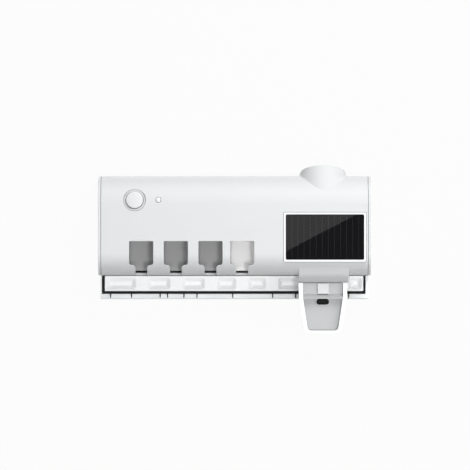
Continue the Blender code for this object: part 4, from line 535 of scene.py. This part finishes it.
def rim_cutter():
    """What lies above the collar's rim, which slants up to the front and is level at the back."""
    slope = (RIM_FRONT - RIM_MIDDLE) / COLLAR_RADIUS
    front_y = SOCKET.y - COLLAR_RADIUS
    level_y = SOCKET.y + (RIM_MIDDLE - RIM_BACK) / slope
    points = at_heights((0.006, RIM_BACK), (0.006, 0.130), (front_y - 0.004, 0.130),
                        (front_y - 0.004, RIM_FRONT + slope * 0.004), (level_y, RIM_BACK))
    return prism("above_rim", points, SOCKET.x - 0.04, SOCKET.x + 0.04, "X")


CHIN_LEFT, CHIN_RIGHT, CHIN_SLOPE = 0.0577, 0.1024, math.tan(math.radians(30))
chin_top_y = front_surface_y(0.007)
chin = prism("chin", rounded(at_heights(
    (-0.024, WALL / 2, 0), (chin_top_y + WALL, 0.0092, 0), (chin_top_y - 0.0022 * CHIN_SLOPE, 0.0092, 0),
    (chin_top_y + 0.0075 * CHIN_SLOPE, -0.0005, 0.012), (-0.0445, -0.0064, 0), (-0.024, -0.0064, 0.002))),
    CHIN_LEFT, CHIN_RIGHT, "X")
chin_hollow = prism("chin_hollow", at_heights(
    (-0.0262, 0.0114), (-0.0500, 0.0114), (-0.0545, 0.0066), (-0.0506, 0.0000), (-0.0488, -0.0012),
    (-0.0445, -0.0042), (-0.0262, -0.0042)), CHIN_LEFT + WALL, CHIN_RIGHT - WALL, "X")
chin_mouth = prism("chin_mouth", [(0.0611, -0.0432), (0.0975, -0.0432), (0.0975, -0.0300), (0.0611, -0.0300)],
                   raised(-0.0104), raised(-0.0002), "Z")

BUTTON_TILT = math.radians(12)
BUTTON_OUT = Vector((0, -math.cos(BUTTON_TILT), math.sin(BUTTON_TILT)))
BUTTON_HEIGHT = 0.0677
BUTTON = Vector((-0.0894, front_surface_y(BUTTON_HEIGHT), raised(BUTTON_HEIGHT)))
SENSOR = Vector((-0.0681, front_surface_y(BUTTON_HEIGHT), raised(BUTTON_HEIGHT)))
RING_IN = 0.0081
SOLAR_LEFT, SOLAR_LOW, SOLAR_RIGHT, SOLAR_HIGH, SOLAR_ROOM = 0.0460, 0.0143, 0.1157, 0.0544, 0.0022
SEAT_LEFT, SEAT_LOW, SEAT_HIGH, SEAT_BACK = 0.0416, 0.0099, 0.0588, -0.0576
SOLAR_RECESS_BACK = -0.0596
BOSS_RADIUS, RECESS_RADIUS, SENSOR_RADIUS = 0.0122, 0.0100, 0.00255
RIM_REACH = 0.00004


def within_skin(piece, low, high):
    """Keeps only what lies inside the middle of the D-shaped wall."""
    carve(piece, [("INTERSECT", prism("skin_middle", shell_outline(WALL / 2), low, high, "X"))])


def drilled(name, radius, centre, depth, sides):
    """A round hole along the button's axis, ready for carve."""
    return "DIFFERENCE", rod(name, radius, centre - BUTTON_OUT * depth, centre + BUTTON_OUT * 0.004, sides)


housing = prism("housing_skin", shell_outline(0), -SHELL_HALF, SHELL_HALF, "X")
collar = collar_block()
skirt = rod("skirt", COLLAR_RADIUS - 0.0001, SOCKET - SOCKET_UP * 0.018, SOCKET + SOCKET_UP * 0.0027,
            COLLAR_SIDES)
bore = rod("bore", COLLAR_BORE, SOCKET - SOCKET_UP * 0.019, SOCKET + SOCKET_UP * 0.022, COLLAR_SIDES)
carve(collar, [("UNION", skirt), ("DIFFERENCE", rim_cutter())])
solar_seat = prism("solar_seat", at_heights(
    (SEAT_LEFT, SEAT_LOW), (SHELL_HALF, SEAT_LOW), (SHELL_HALF, SEAT_HIGH), (SEAT_LEFT, SEAT_HIGH)),
    FRONT_Y + 0.0004, SEAT_BACK, "Y")
within_skin(solar_seat, 0.030, 0.130)
boss = rod("boss", BOSS_RADIUS, BUTTON - BUTTON_OUT * 0.0046, BUTTON - BUTTON_OUT * 0.0001)
within_skin(boss, -0.115, -0.060)
solar_recess = framed(SOLAR_LEFT - SOLAR_ROOM, raised(SOLAR_LOW - SOLAR_ROOM), SOLAR_RIGHT + SOLAR_ROOM,
                      raised(SOLAR_HIGH + SOLAR_ROOM), 0.0012)
steps = [
    ("DIFFERENCE", prism("hollow", shell_outline(WALL, BACK_Y + BACK_ROOM), -SHELL_HALF - 0.004,
                         SHELL_HALF + 0.004, "X")),
    ("UNION", solar_seat), ("UNION", boss), ("UNION", chin),
]
for x in WINDOWS:
    steps += [
        ("DIFFERENCE", prism("window", window_outline(x), CUT_FRONT, -0.050, "Y")),
        ("DIFFERENCE", prism("neck", neck_slot_outline(x), raised(NECK_BELOW), raised(WINDOW_SHOULDER), "Z"))]
steps += [
    ("UNION", collar), ("DIFFERENCE", chin_hollow), ("DIFFERENCE", chin_mouth), ("DIFFERENCE", bore),
    ("DIFFERENCE", prism("solar_recess", solar_recess, FRONT_Y - 0.004, SOLAR_RECESS_BACK, "Y")),
    drilled("button_recess", RECESS_RADIUS, BUTTON, 0.0026, 96),
    drilled("button_hole", RING_IN, BUTTON, 0.0080, 96),
    drilled("sensor_hole", SENSOR_RADIUS, SENSOR, 0.0060, 48),
]
carve(housing, steps)
# The shortest edges of the rim's level top go, so that its rounded edge doesn't fold over itself.
form = opened(housing)
rim_top = [vertex for vertex in form.verts if abs(vertex.co.z - raised(RIM_BACK)) < 0.00001]
bmesh.ops.remove_doubles(form, verts=rim_top, dist=RIM_REACH)
put_back(form, housing)
soften(housing, 0.00035, smooth_angle=13)
skin_shaded(housing)
housing_white = moulded("housing_white", (0.628, 0.639, 0.641), 0.48, specular=0.25)
dress(housing, "unit", "white_plastic", housing_white, "front_housing")

# The two end caps: satin white mouldings that close the open ends of the housing. Each is a plate
# with a rolled rim and a short plug that holds in the shell. The left one has the charging port.
def merged_copy(node):
    """A fresh mesh in the shape of a plain solid, still to be joined up by soften."""
    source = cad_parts[node].data
    mesh = bpy.data.meshes.new("fine_" + node)
    mesh.from_pydata([vertex.co for vertex in source.vertices], [],
                     [tuple(face.vertices) for face in source.polygons])
    return bpy.data.objects.new("fine_" + node, mesh)


def fitted(node, body, slot, material, width=0.0003, segments=3):
    """A finer copy of a plain solid: joined up, its sharp edges rounded, in its own material."""
    dress(soften(merged_copy(node), width, segments, clamp=True), body, slot, material, node)


cap_white = moulded("cap_white", (0.638, 0.647, 0.651), 0.48, specular=0.25)
for cap in ("left_end_cap", "right_end_cap"):
    fitted(cap, "unit", "cap_white_plastic", cap_white, 0.0002)

# The rear shell: the white moulded back with the hook slots, and below the housing the open apron
# that carries the neck rest panel. Its coarser grain comes from the unpolished side of the mould.
rear_white = moulded("rear_white", (0.85, 0.86, 0.87), 0.42, grain=0.10)
fitted("rear_shell", "unit", "rear_white_plastic", rear_white, 0.0004)

# The wall bracket: a flat moulded plate with two hooks on which the whole unit hangs. It stays on
# the wall when the unit is lifted off.
bracket_white = moulded("bracket_white", (0.74, 0.75, 0.76), 0.5, grain=0.15, scale=700.0)
fitted("wall_bracket", "bracket", "bracket_plastic", bracket_white, 0.0004)

# The adhesive pad: closed-cell foam behind the bracket, die cut, so its cells show on the rim.
# Its two tacky faces hold the bracket to the wall.
FOAM_COLOUR = (0.62, 0.63, 0.62)
foam, foam_tree, foam_shader = new_material("pad_foam")
foam_cells = add_node(foam_tree, "ShaderNodeTexVoronoi", {"Vector": own_place(foam_tree), "Scale": 1800.0})
foam_shade = add_node(foam_tree, "ShaderNodeValToRGB", {"Fac": foam_cells.outputs["Distance"]})
foam_shade.color_ramp.elements[0].color = (*(c * 0.72 for c in FOAM_COLOUR), 1)
foam_shade.color_ramp.elements[1].position = 0.45
foam_shade.color_ramp.elements[1].color = (*FOAM_COLOUR, 1)
feed(foam_tree, foam_shader, {"Base Color": foam_shade.outputs["Color"], "Roughness": 0.95,
                              "Specular IOR Level": 0.2})
emboss(foam_tree, foam_shader, foam_cells.outputs["Distance"], 0.5, 0.0002)
fitted("adhesive_pad", "bracket", "adhesive_foam", foam, 0.0002)

# The neck rest panel: a glossy white moulding that snaps into the apron below the windows. Soft
# pockets are sunk between the ribs that stand behind the windows' necks.
PANEL_LEFT, PANEL_RIGHT = -0.1170, 0.1162
PANEL_LOW, PANEL_HIGH = raised(-0.0144), raised(-0.0006)
PANEL_FRONT, PANEL_BACK = -0.0200, -0.0160
PANEL_COLUMNS, PANEL_ROWS, ROLL_STEPS = 420, 40, 4
PANEL_EDGE, PANEL_ROLL = 0.0012, 0.0004
RIBS = WINDOWS + (0.0338, 0.0661, 0.0982)
RIB_HALF = 0.0051
POCKET_LOW, POCKET_HIGH = raised(-0.0132), raised(-0.0020)
POCKET_DEPTH, POCKET_CORNER, POCKET_SLOPE = 0.0024, 0.0030, 0.0042


def pocketed_panel():
    def ticks(low, high, count):
        """Even places along a side, and closer ones where its edges roll over."""
        roll = np.linspace(0, PANEL_ROLL, ROLL_STEPS)
        return np.unique(np.concatenate([np.linspace(low, high, count), low + roll, high - roll]))

    xs, zs = ticks(PANEL_LEFT, PANEL_RIGHT, PANEL_COLUMNS), ticks(PANEL_LOW, PANEL_HIGH, PANEL_ROWS)
    x, z = np.meshgrid(xs, zs)
    sunk = np.zeros_like(x)
    lefts = [PANEL_LEFT + PANEL_EDGE] + [rib + RIB_HALF for rib in RIBS]
    rights = [rib - RIB_HALF for rib in RIBS] + [PANEL_RIGHT - PANEL_EDGE]
    for left, right in zip(lefts, rights):
        u = np.abs(x - (left + right) / 2) - (right - left) / 2 + POCKET_CORNER
        v = np.abs(z - (POCKET_LOW + POCKET_HIGH) / 2) - (POCKET_HIGH - POCKET_LOW) / 2 + POCKET_CORNER
        outside = (np.hypot(np.maximum(u, 0), np.maximum(v, 0))
                   + np.minimum(np.maximum(u, v), 0) - POCKET_CORNER)
        share = np.clip(-outside / POCKET_SLOPE, 0, 1)
        sunk = np.maximum(sunk, POCKET_DEPTH * share * share * (3 - 2 * share))
    rim = np.minimum(np.minimum(x - PANEL_LEFT, PANEL_RIGHT - x), np.minimum(z - PANEL_LOW, PANEL_HIGH - z))
    roll = np.clip(1 - rim / PANEL_ROLL, 0, 1)
    y = PANEL_FRONT + sunk + PANEL_ROLL * (1 - np.sqrt(1 - roll ** 2))
    form = bmesh.new()
    grid = [[form.verts.new((x[row, column], y[row, column], z[row, column])) for column in range(len(xs))]
            for row in range(len(zs))]
    for low, high in zip(grid, grid[1:]):
        for column in range(len(xs) - 1):
            form.faces.new((low[column], low[column + 1], high[column + 1], high[column]))
    border = grid[0][:-1] + [row[-1] for row in grid[:-1]] + grid[-1][:0:-1] + [row[0] for row in grid[:0:-1]]
    behind = [form.verts.new((point.co.x, PANEL_BACK, point.co.z)) for point in border]
    for index in range(len(border)):
        after = (index + 1) % len(border)
        form.faces.new((border[after], border[index], behind[index], behind[after]))
    form.faces.new(behind)
    piece = as_object(form, "fine_neck_rest_panel")
    piece.data.shade_smooth()
    piece.data.set_sharp_from_angle(angle=math.radians(60))
    return piece


panel_white = moulded("panel_white", (0.955, 0.96, 0.965), 0.35)
dress(pocketed_panel(), "unit", "panel_plastic", panel_white, "neck_rest_panel")

# The dark trim: a near-black strip along both sides and the bottom of the panel, with short
# near-black teeth under it that reach down over the apron's lip.
STRIP_LEFT, STRIP_RIGHT = -0.1192, 0.1178
STRIP_BOTTOM, STRIP_TOP = raised(-0.0166), raised(-0.0006)
STRIP_FRONT, STRIP_BACK = -0.0207, -0.0177
STRIP_ROOM = 0.0003
TOOTH_PLACES = (-0.1117, -0.0928, -0.0670, -0.0603, -0.0456, -0.0338, -0.0016, 0.0344, 0.0550, 0.1030)
TOOTH_SIZES = {"Width": 0.0011, "Depth": 0.0009, "Height": 0.0045, "Taper": 0.45}
TOOTH_FOOT = raised(-0.0206)
trim_black = moulded("trim_black", (0.006, 0.006, 0.0065), 0.6, grain=0.12, specular=0.2)
strip = prism("trim_strip", [
    (STRIP_LEFT, STRIP_BOTTOM), (STRIP_RIGHT, STRIP_BOTTOM), (STRIP_RIGHT, STRIP_TOP),
    (PANEL_RIGHT + STRIP_ROOM, STRIP_TOP), (PANEL_RIGHT + STRIP_ROOM, PANEL_LOW - STRIP_ROOM),
    (PANEL_LEFT - STRIP_ROOM, PANEL_LOW - STRIP_ROOM), (PANEL_LEFT - STRIP_ROOM, STRIP_TOP),
    (STRIP_LEFT, STRIP_TOP)], STRIP_FRONT, STRIP_BACK, "Y")
dress(soften(strip, 0.0004), "unit", "trim_rubber", trim_black, "apron_trim")


def axes(tree, place):
    return add_node(tree, "ShaderNodeSeparateXYZ", {0: place}).outputs


def geometry_tree(name, sizes):
    """An empty Geometry Nodes tree with a named input for each size, and those inputs."""
    tree = bpy.data.node_groups.new(name, "GeometryNodeTree")
    tree.is_modifier = True
    for side in ("INPUT", "OUTPUT"):
        tree.interface.new_socket("Geometry", in_out=side, socket_type="NodeSocketGeometry")
    for size in sizes:
        tree.interface.new_socket(size, in_out="INPUT", socket_type="NodeSocketFloat")
    return tree, tree.nodes.new("NodeGroupInput").outputs


def set_out(tree, points, shape, turn, material):
    """Puts one shape on each point, makes it real and gives it its material."""
    spread = add_node(tree, "GeometryNodeInstanceOnPoints", {
        "Points": points, "Instance": shape, "Rotation": turn})
    real = add_node(tree, "GeometryNodeRealizeInstances", {0: spread.outputs[0]})
    painted = add_node(tree, "GeometryNodeSetMaterial", {0: real.outputs[0], "Material": material})
    add_node(tree, "NodeGroupOutput", {0: painted.outputs[0]})
    return tree


def grown(name, places, tree, sizes):
    """Runs a tree on a set of points and keeps its result as a plain mesh."""
    mesh = bpy.data.meshes.new(name + "_places")
    mesh.from_pydata(places, [], [])
    piece = bpy.data.objects.new(name, mesh)
    scene.collection.objects.link(piece)
    growth = piece.modifiers.new("growth", "NODES")
    growth.node_group = tree
    for socket in tree.interface.items_tree:
        if socket.name in sizes:
            growth[socket.identifier] = sizes[socket.name]
    settle(piece)
    scene.collection.objects.unlink(piece)
    return piece


def tooth_tree():
    """A small block whose foot narrows in a curve, on every point."""
    tree, sizes = geometry_tree("trim_teeth", TOOTH_SIZES)
    size = add_node(tree, "ShaderNodeCombineXYZ", {
        "X": sizes["Width"], "Y": sizes["Depth"], "Z": sizes["Height"]})
    block = add_node(tree, "GeometryNodeMeshCube", {"Size": size.outputs[0], "Vertices Z": 6})
    at = axes(tree, tree.nodes.new("GeometryNodeInputPosition").outputs[0])
    drop = worked(tree, "SUBTRACT", 0.5, worked(tree, "DIVIDE", at["Z"], sizes["Height"]))
    loss = worked(tree, "MULTIPLY", sizes["Taper"], worked(tree, "POWER", drop, 2.0))
    narrow = worked(tree, "SUBTRACT", 1.0, loss)
    x, y = (worked(tree, "MULTIPLY", at[axis], narrow) for axis in "XY")
    moved = add_node(tree, "ShaderNodeCombineXYZ", {"X": x, "Y": y, "Z": at["Z"]})
    shape = add_node(tree, "GeometryNodeSetPosition", {
        "Geometry": block.outputs["Mesh"], "Position": moved.outputs[0]})
    return set_out(tree, sizes["Geometry"], shape.outputs[0], (0, 0, 0), trim_black)


tooth_places = [(x, STRIP_FRONT + 0.00045, TOOTH_FOOT + TOOTH_SIZES["Height"] / 2) for x in TOOTH_PLACES]
teeth = grown("trim_teeth", tooth_places, tooth_tree(), TOOTH_SIZES)
dress(soften(teeth, 0.00012, segments=2), "unit", "trim_rubber", trim_black, "apron_trim")

# The bays: three moulded liners behind the left windows, each an open box that hangs on the
# housing, and a white one with slanting sides behind the fourth window. The three left ones are
# coloured grey as painted shade for the shade inside the brush bays.
# Painted shade: this darker grey stands in for the shade inside the three brush bays.
bay_shade_grey = moulded("bay_shade_grey", (0.44, 0.44, 0.445), 0.5, grain=0.06)
for bay in ("brush_bay_1", "brush_bay_2", "brush_bay_3"):
    fitted(bay, "unit", "bay_grey_plastic", bay_shade_grey)
fitted("razor_bay", "unit", "razor_bay_plastic", moulded("razor_bay_white", (0.92, 0.915, 0.91), 0.4))


# The lamp: a thin quartz tube over the bays, held at each end by a small clip moulding. The tube
# is clear with a faint violet tint.
def clear_glass(name, colour, rough, transmission=1.0, ior=1.46, alpha=1.0):
    material, tree, shader = new_material(name)
    feed(tree, shader, {"Transmission Weight": transmission, "IOR": ior, "Alpha": alpha})
    uneven(tree, shader, noise(tree, 40.0), [c * 0.97 for c in colour], colour, rough, (0.7, 1.3))
    return material


fitted("uv_lamp", "unit", "lamp_glass", clear_glass("lamp_quartz", (0.90, 0.88, 0.97), 0.12), 0.0004)
holder_white = moulded("holder_white", (0.78, 0.78, 0.77), 0.45)
for holder in ("lamp_holder_left", "lamp_holder_right"):
    fitted(holder, "unit", "lamp_holder_plastic", holder_white, 0.0002)

# The solar panel: thirteen dark cells on a black board under a glass cover, in a bright white
# bezel that drops into the housing's recess. Thin pale lines part the cells.
FIRST_LINE, CELL_PITCH, LINE_HALF = 0.0513, 0.00543, 0.00028
bezel_white = moulded("bezel_white", (0.86, 0.865, 0.87), 0.32)
fitted("solar_bezel", "unit", "bezel_plastic", bezel_white)
cover_glass = clear_glass("cover_glass", (0.004, 0.004, 0.005), 0.004, transmission=0.0, ior=1.7, alpha=0.5)
fitted("solar_cover", "unit", "solar_glass", cover_glass, 0)


def solar_film():
    """Near-black film with a faint purple bloom, parted by thin pale lines."""
    material, tree, shader = new_material("solar_film")
    across = worked(tree, "SUBTRACT", axes(tree, own_place(tree))["X"], FIRST_LINE)
    nearest = worked(tree, "PINGPONG", across, CELL_PITCH / 2)
    line = ranged(tree, nearest, start=LINE_HALF * 1.5, end=LINE_HALF * 0.7)
    bloom = noise(tree, 45.0)
    cell = blend(tree, bloom, (0.0060, 0.0060, 0.0085), (0.0115, 0.0060, 0.0100))
    feed(tree, shader, {"Base Color": blend(tree, line, cell, (0.115, 0.115, 0.125)),
                        "Roughness": ranged(tree, bloom, 0.55, 0.75), "Specular IOR Level": 0.08})
    return material


fitted("solar_cells", "unit", "solar_silicon", solar_film(), 0)
backing_black = moulded("backing_black", (0.012, 0.012, 0.013), 0.55, grain=0.1)
fitted("solar_backing", "unit", "solar_board", backing_black, 0)


# The power button: a domed white cap in a round recess, with a thin ring on the recess's floor.
# Under it a small plunger presses a switch on the control board.
def lathe(name, profile, origin, up, sides=96, closed=False):
    """Turns a (radius, height) profile about an axis; a radius of zero is one point."""
    side = Vector((1, 0, 0))
    back = up.cross(side)
    form = bmesh.new()
    rings = []
    for radius, height in profile:
        if radius == 0:
            rings.append([form.verts.new(origin + up * height)] * sides)
            continue
        middle = origin + up * height
        rings.append([form.verts.new(middle + (side * math.cos(turn) + back * math.sin(turn)) * radius)
                      for turn in (math.tau * index / sides for index in range(sides))])
    for upper, lower in list(zip(rings, rings[1:])) + ([(rings[-1], rings[0])] if closed else []):
        for index in range(sides):
            after = (index + 1) % sides
            corners = dict.fromkeys((upper[index], upper[after], lower[after], lower[index]))
            form.faces.new(tuple(corners))
    return level_shaded(as_object(form, name))


def arc(start, end, count):
    return np.radians(np.linspace(start, end, count))


CAP_RADIUS, CAP_EDGE, CAP_TOP, CAP_DOME = 0.0077, 0.0010, 0.0010, 0.00045
CAP_FLAT = CAP_RADIUS - CAP_EDGE
cap_profile = [(0, CAP_TOP)]
cap_profile += [(CAP_FLAT * share, CAP_TOP - CAP_DOME * share ** 2) for share in np.linspace(0.1, 1, 10)]
cap_profile += [(CAP_FLAT + CAP_EDGE * math.sin(turn), 0.00055 - CAP_EDGE * (1 - math.cos(turn)))
                for turn in arc(15, 90, 6)]
# Below the dome: the skirt, the flange that keeps the cap in, and the stem.
cap_profile += [(CAP_RADIUS, -0.0049), (0.0088, -0.0049), (0.0090, -0.0051), (0.0090, -0.0056),
                (0.0088, -0.0058), (0.0022, -0.0058), (0.0022, -0.0062), (0, -0.0062)]
button_white = moulded("button_white", (0.66, 0.67, 0.675), 0.36, grain=0.25, wear=0.05, scale=600.0)
dress(lathe("fine_power_button", cap_profile, BUTTON, BUTTON_OUT),
      "button", "button_plastic", button_white, "power_button")
RING_OUT, RING_LOW, RING_HIGH, RING_ROLL = 0.0097, -0.0023, -0.0014, 0.0003
ring_profile = [(RING_IN, RING_HIGH - RING_ROLL), (RING_IN + RING_ROLL * 0.3, RING_HIGH - RING_ROLL * 0.3),
                (RING_IN + RING_ROLL, RING_HIGH), (RING_OUT - RING_ROLL, RING_HIGH),
                (RING_OUT - RING_ROLL * 0.3, RING_HIGH - RING_ROLL * 0.3), (RING_OUT, RING_HIGH - RING_ROLL),
                (RING_OUT, RING_LOW), (RING_IN, RING_LOW)]
dress(lathe("fine_button_ring", ring_profile, BUTTON, BUTTON_OUT, closed=True),
      "unit", "ring_plastic", moulded("ring_grey", (0.60, 0.61, 0.62), 0.3), "button_ring")
plunger_black = moulded("plunger_black", (0.03, 0.03, 0.03), 0.4)
fitted("switch_plunger", "button", "plunger_plastic", plunger_black, 0.0002)

# The sensor: a small milky lens beside the button that lets light through to the control board.
# It is pushed in from behind, where its wide foot stops it.
LENS_RADIUS, LENS_DOME = 0.00225, 0.0005
lens_profile = [(0, LENS_DOME)]
lens_profile += [(LENS_RADIUS * math.sin(turn), LENS_DOME * math.cos(turn)) for turn in arc(12, 90, 7)]
lens_profile += [(LENS_RADIUS, -0.0031), (0.0036, -0.0031), (0.0036, -0.0041), (0, -0.0041)]
dress(lathe("fine_sensor_lens", lens_profile, SENSOR, BUTTON_OUT, sides=48),
      "unit", "lens_plastic", moulded("lens_milky", (0.72, 0.73, 0.74), 0.25), "sensor_lens")


# Inside the case: the control board with its switch, the battery cell in its cradle and the
# charging socket, whose mouth shows in the left end cap.
def patterned(name, low, high, rough, scale, metallic=0.0, stretch=None):
    """A surface whose colour and sheen wander between two tones, such as drawn metal or lacquer."""
    material, tree, shader = new_material(name)
    streaks = noise(tree, scale, 5.0, stretch)
    shader.inputs["Metallic"].default_value = metallic
    uneven(tree, shader, streaks, low, high, rough, (0.75, 1.25))
    emboss(tree, shader, streaks, 0.1, 0.00005)
    return material


fitted("tact_switch", "unit", "switch_metal",
       patterned("switch_plate", (0.50, 0.50, 0.50), (0.62, 0.62, 0.61), 0.35, 300.0, 1.0), 0.0001)
fitted("control_board", "unit", "circuit_board",
       patterned("board_green", (0.015, 0.10, 0.04), (0.02, 0.15, 0.06), 0.35, 260.0), 0.0001)
fitted("battery_cell", "unit", "battery_sleeve",
       patterned("sleeve_blue", (0.03, 0.09, 0.22), (0.04, 0.11, 0.26), 0.3, 60.0), 0.0004)
fitted("battery_cradle", "unit", "cradle_plastic", moulded("cradle_black", (0.04, 0.04, 0.042), 0.5), 0.0002)
fitted("charging_socket", "unit", "socket_steel",
       patterned("socket_plate", (0.45, 0.45, 0.46), (0.58, 0.58, 0.59), 0.3, 400.0, 1.0), 0.0001)


# The paste way: a moulded funnel in the collar, with a soft silicone seal pressed on it, and a
# silicone hose that leads from it down to the pump.
def silicone(name, colour, rough):
    material = moulded(name, colour, rough, grain=0.08, scale=500.0)
    feed(material.node_tree, material.node_tree.nodes["Principled BSDF"], {
        "Subsurface Weight": 0.25, "Subsurface Radius": (1.0, 1.0, 1.0), "Subsurface Scale": 0.0010})
    return material


fitted("paste_funnel", "unit", "funnel_plastic", moulded("funnel_white", (0.76, 0.77, 0.78), 0.35))
fitted("socket_seal", "unit", "seal_silicone", silicone("seal_grey", (0.55, 0.56, 0.57), 0.5))
fitted("feed_hose", "unit", "hose_silicone", silicone("hose_clear", (0.70, 0.71, 0.70), 0.4), 0)

# The pump: a moulded chamber behind the chin with the steel pin across its cheeks, and a piston
# on a rod that the lever's arm pushes in against a coil spring.
fitted("pump_body", "unit", "pump_plastic", moulded("pump_white", (0.72, 0.73, 0.74), 0.4), 0.0002)
pin_steel = patterned("pin_steel", (0.52, 0.52, 0.53), (0.64, 0.64, 0.65), 0.25, 500.0, 1.0, (0.05, 1, 1))
fitted("lever_pin", "unit", "pin_steel", pin_steel, 0.0002)
fitted("pump_plunger", "plunger", "piston_plastic", moulded("piston_white", (0.78, 0.78, 0.77), 0.38), 0.0002)
spring_steel = patterned("spring_steel", (0.50, 0.50, 0.52), (0.62, 0.62, 0.64), 0.28, 900.0, 1.0)
spring_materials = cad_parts["return_spring"].data.materials
spring_materials.clear()
spring_materials.append(spring_steel)

# The dispenser lever: a white moulded paddle under the chin with a scooped face. A push swings it
# about the pin, and the paste comes out of the dark silicone nozzle at the top of the scoop. The
# scoop and the ledge above it carry painted shade, a grey colour, and a black sheet across the
# nozzle's slit is painted shade for the dark inside of the opening.
LEVER_RIM_Y, LEVER_SUNK_Y = -0.0494, -0.0478
LEDGE_HALF, LEDGE_BOTTOM = 0.0178, raised(-0.0209)
NOZZLE_X, NOZZLE_Z = 0.0791, raised(-0.0237)
SLOT_HALF, SLOT_RISE, SLOT_CORNER = 0.0046, 0.0015, 0.0014


def paint_scoop_shade(material, scoop_shade_colour):
    """Paints shade onto what lies deeper than the rim and onto the ledge over the scoop, as a greyer colour.
    """
    tree = material.node_tree
    coat = tree.nodes["Principled BSDF"].inputs["Base Color"]
    at = axes(tree, own_place(tree))
    off_middle = worked(tree, "ABSOLUTE", worked(tree, "SUBTRACT", at["X"], SOCKET.x))
    ledge = worked(tree, "MULTIPLY", worked(tree, "LESS_THAN", off_middle, LEDGE_HALF),
                   worked(tree, "GREATER_THAN", at["Z"], LEDGE_BOTTOM))
    sunk = worked(tree, "MAXIMUM", ranged(tree, at["Y"], start=LEVER_RIM_Y, end=LEVER_SUNK_Y), ledge)
    tree.links.new(blend(tree, sunk, coat.links[0].from_socket, scoop_shade_colour), coat)
    return material


# Painted shade: the lever's scoop and the ledge over it are coloured grey in place of their shade.
lever_white_scoop_shade = paint_scoop_shade(moulded("lever_white_scoop_shade", (0.80, 0.81, 0.81), 0.35), (0.395, 0.400, 0.405))
fitted("dispenser_lever", "lever", "lever_plastic", lever_white_scoop_shade, 0.0006, segments=4)
fitted("outlet_block", "lever", "block_plastic", moulded("block_white", (0.57, 0.575, 0.58), 0.35), 0.0002)
nozzle_black = moulded("nozzle_black", (0.003, 0.003, 0.003), 0.6, grain=0.1, scale=500.0, specular=0.2)
nozzle = merged_copy("outlet_nozzle")
# The nozzle is black silicone; the sheet across its slit is painted shade, a dark sheet in place of the shade
# inside the opening.
slot_shade_sheet = framed(NOZZLE_X - SLOT_HALF, NOZZLE_Z - SLOT_RISE, NOZZLE_X + SLOT_HALF, NOZZLE_Z + SLOT_RISE,
                  SLOT_CORNER)
carve(nozzle, [("UNION", prism("slot_shade_sheet", slot_shade_sheet, -0.0437, -0.0430, "Y"))])
dress(soften(nozzle, 0.0002), "lever", "nozzle_silicone", nozzle_black, "outlet_nozzle")

# The rear screws: four small plated screws with a hexagon socket, driven from behind into the
# housing's corner posts.
SCREW_NODES = ("rear_screw_1", "rear_screw_2", "rear_screw_3", "rear_screw_4")
SCREW_SIZES = {"Head radius": 0.0028, "Head height": 0.0013, "Shank radius": 0.0012, "Length": 0.0120,
               "Socket radius": 0.0012, "Socket depth": 0.0008}
HEAD_TAPER, HEAD_SIDES, SHANK_SIDES, KEY_SIDES = 0.62, 32, 20, 6


def turned_step(tree, top, bottom, depth, low, sides):
    """One step of a turned shape, as a cone or cylinder whose foot stands at a height."""
    cone = add_node(tree, "GeometryNodeMeshCone", {
        "Vertices": sides, "Radius Top": top, "Radius Bottom": bottom, "Depth": depth})
    lift = add_node(tree, "ShaderNodeCombineXYZ", {"Z": low})
    return add_node(tree, "GeometryNodeTransform", {
        "Geometry": cone.outputs["Mesh"], "Translation": lift.outputs[0]}).outputs[0]


def screw_tree(material):
    """A head that tapers in its upper half, a shank and a key socket, on every point."""
    tree, sizes = geometry_tree("rear_screws", SCREW_SIZES)
    radius, height, shank = sizes["Head radius"], sizes["Head height"], sizes["Shank radius"]
    half = worked(tree, "MULTIPLY", height, 0.5)
    crown = worked(tree, "MULTIPLY", radius, HEAD_TAPER)
    tip = worked(tree, "MULTIPLY", sizes["Length"], -1)
    floor = worked(tree, "SUBTRACT", height, sizes["Socket depth"])
    whole = add_node(tree, "GeometryNodeMeshBoolean", operation="UNION")
    for step in (turned_step(tree, radius, radius, half, 0, HEAD_SIDES),
                 turned_step(tree, crown, radius, half, half, HEAD_SIDES),
                 turned_step(tree, shank, shank, sizes["Length"], tip, SHANK_SIDES)):
        tree.links.new(step, whole.inputs["Mesh 2"])
    socket = turned_step(tree, sizes["Socket radius"], sizes["Socket radius"], height, floor, KEY_SIDES)
    drilled_head = add_node(tree, "GeometryNodeMeshBoolean", {
        "Mesh 1": whole.outputs["Mesh"], "Mesh 2": socket}, operation="DIFFERENCE")
    return set_out(tree, sizes["Geometry"], drilled_head.outputs["Mesh"], (math.radians(-90), 0, 0), material)


screw_steel = patterned("screw_steel", (0.46, 0.46, 0.47), (0.60, 0.60, 0.61), 0.3, 700.0, 1.0)
screw_places = []
for node in SCREW_NODES:
    low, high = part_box(node)
    screw_places.append(((low[0] + high[0]) / 2, high[1] - SCREW_SIZES["Head height"],
                         (low[2] + high[2]) / 2))
screws = grown("rear_screws", screw_places, screw_tree(screw_steel), SCREW_SIZES)
dress(soften(screws, 0.0001, segments=2), "unit", "screw_steel", screw_steel, *SCREW_NODES)
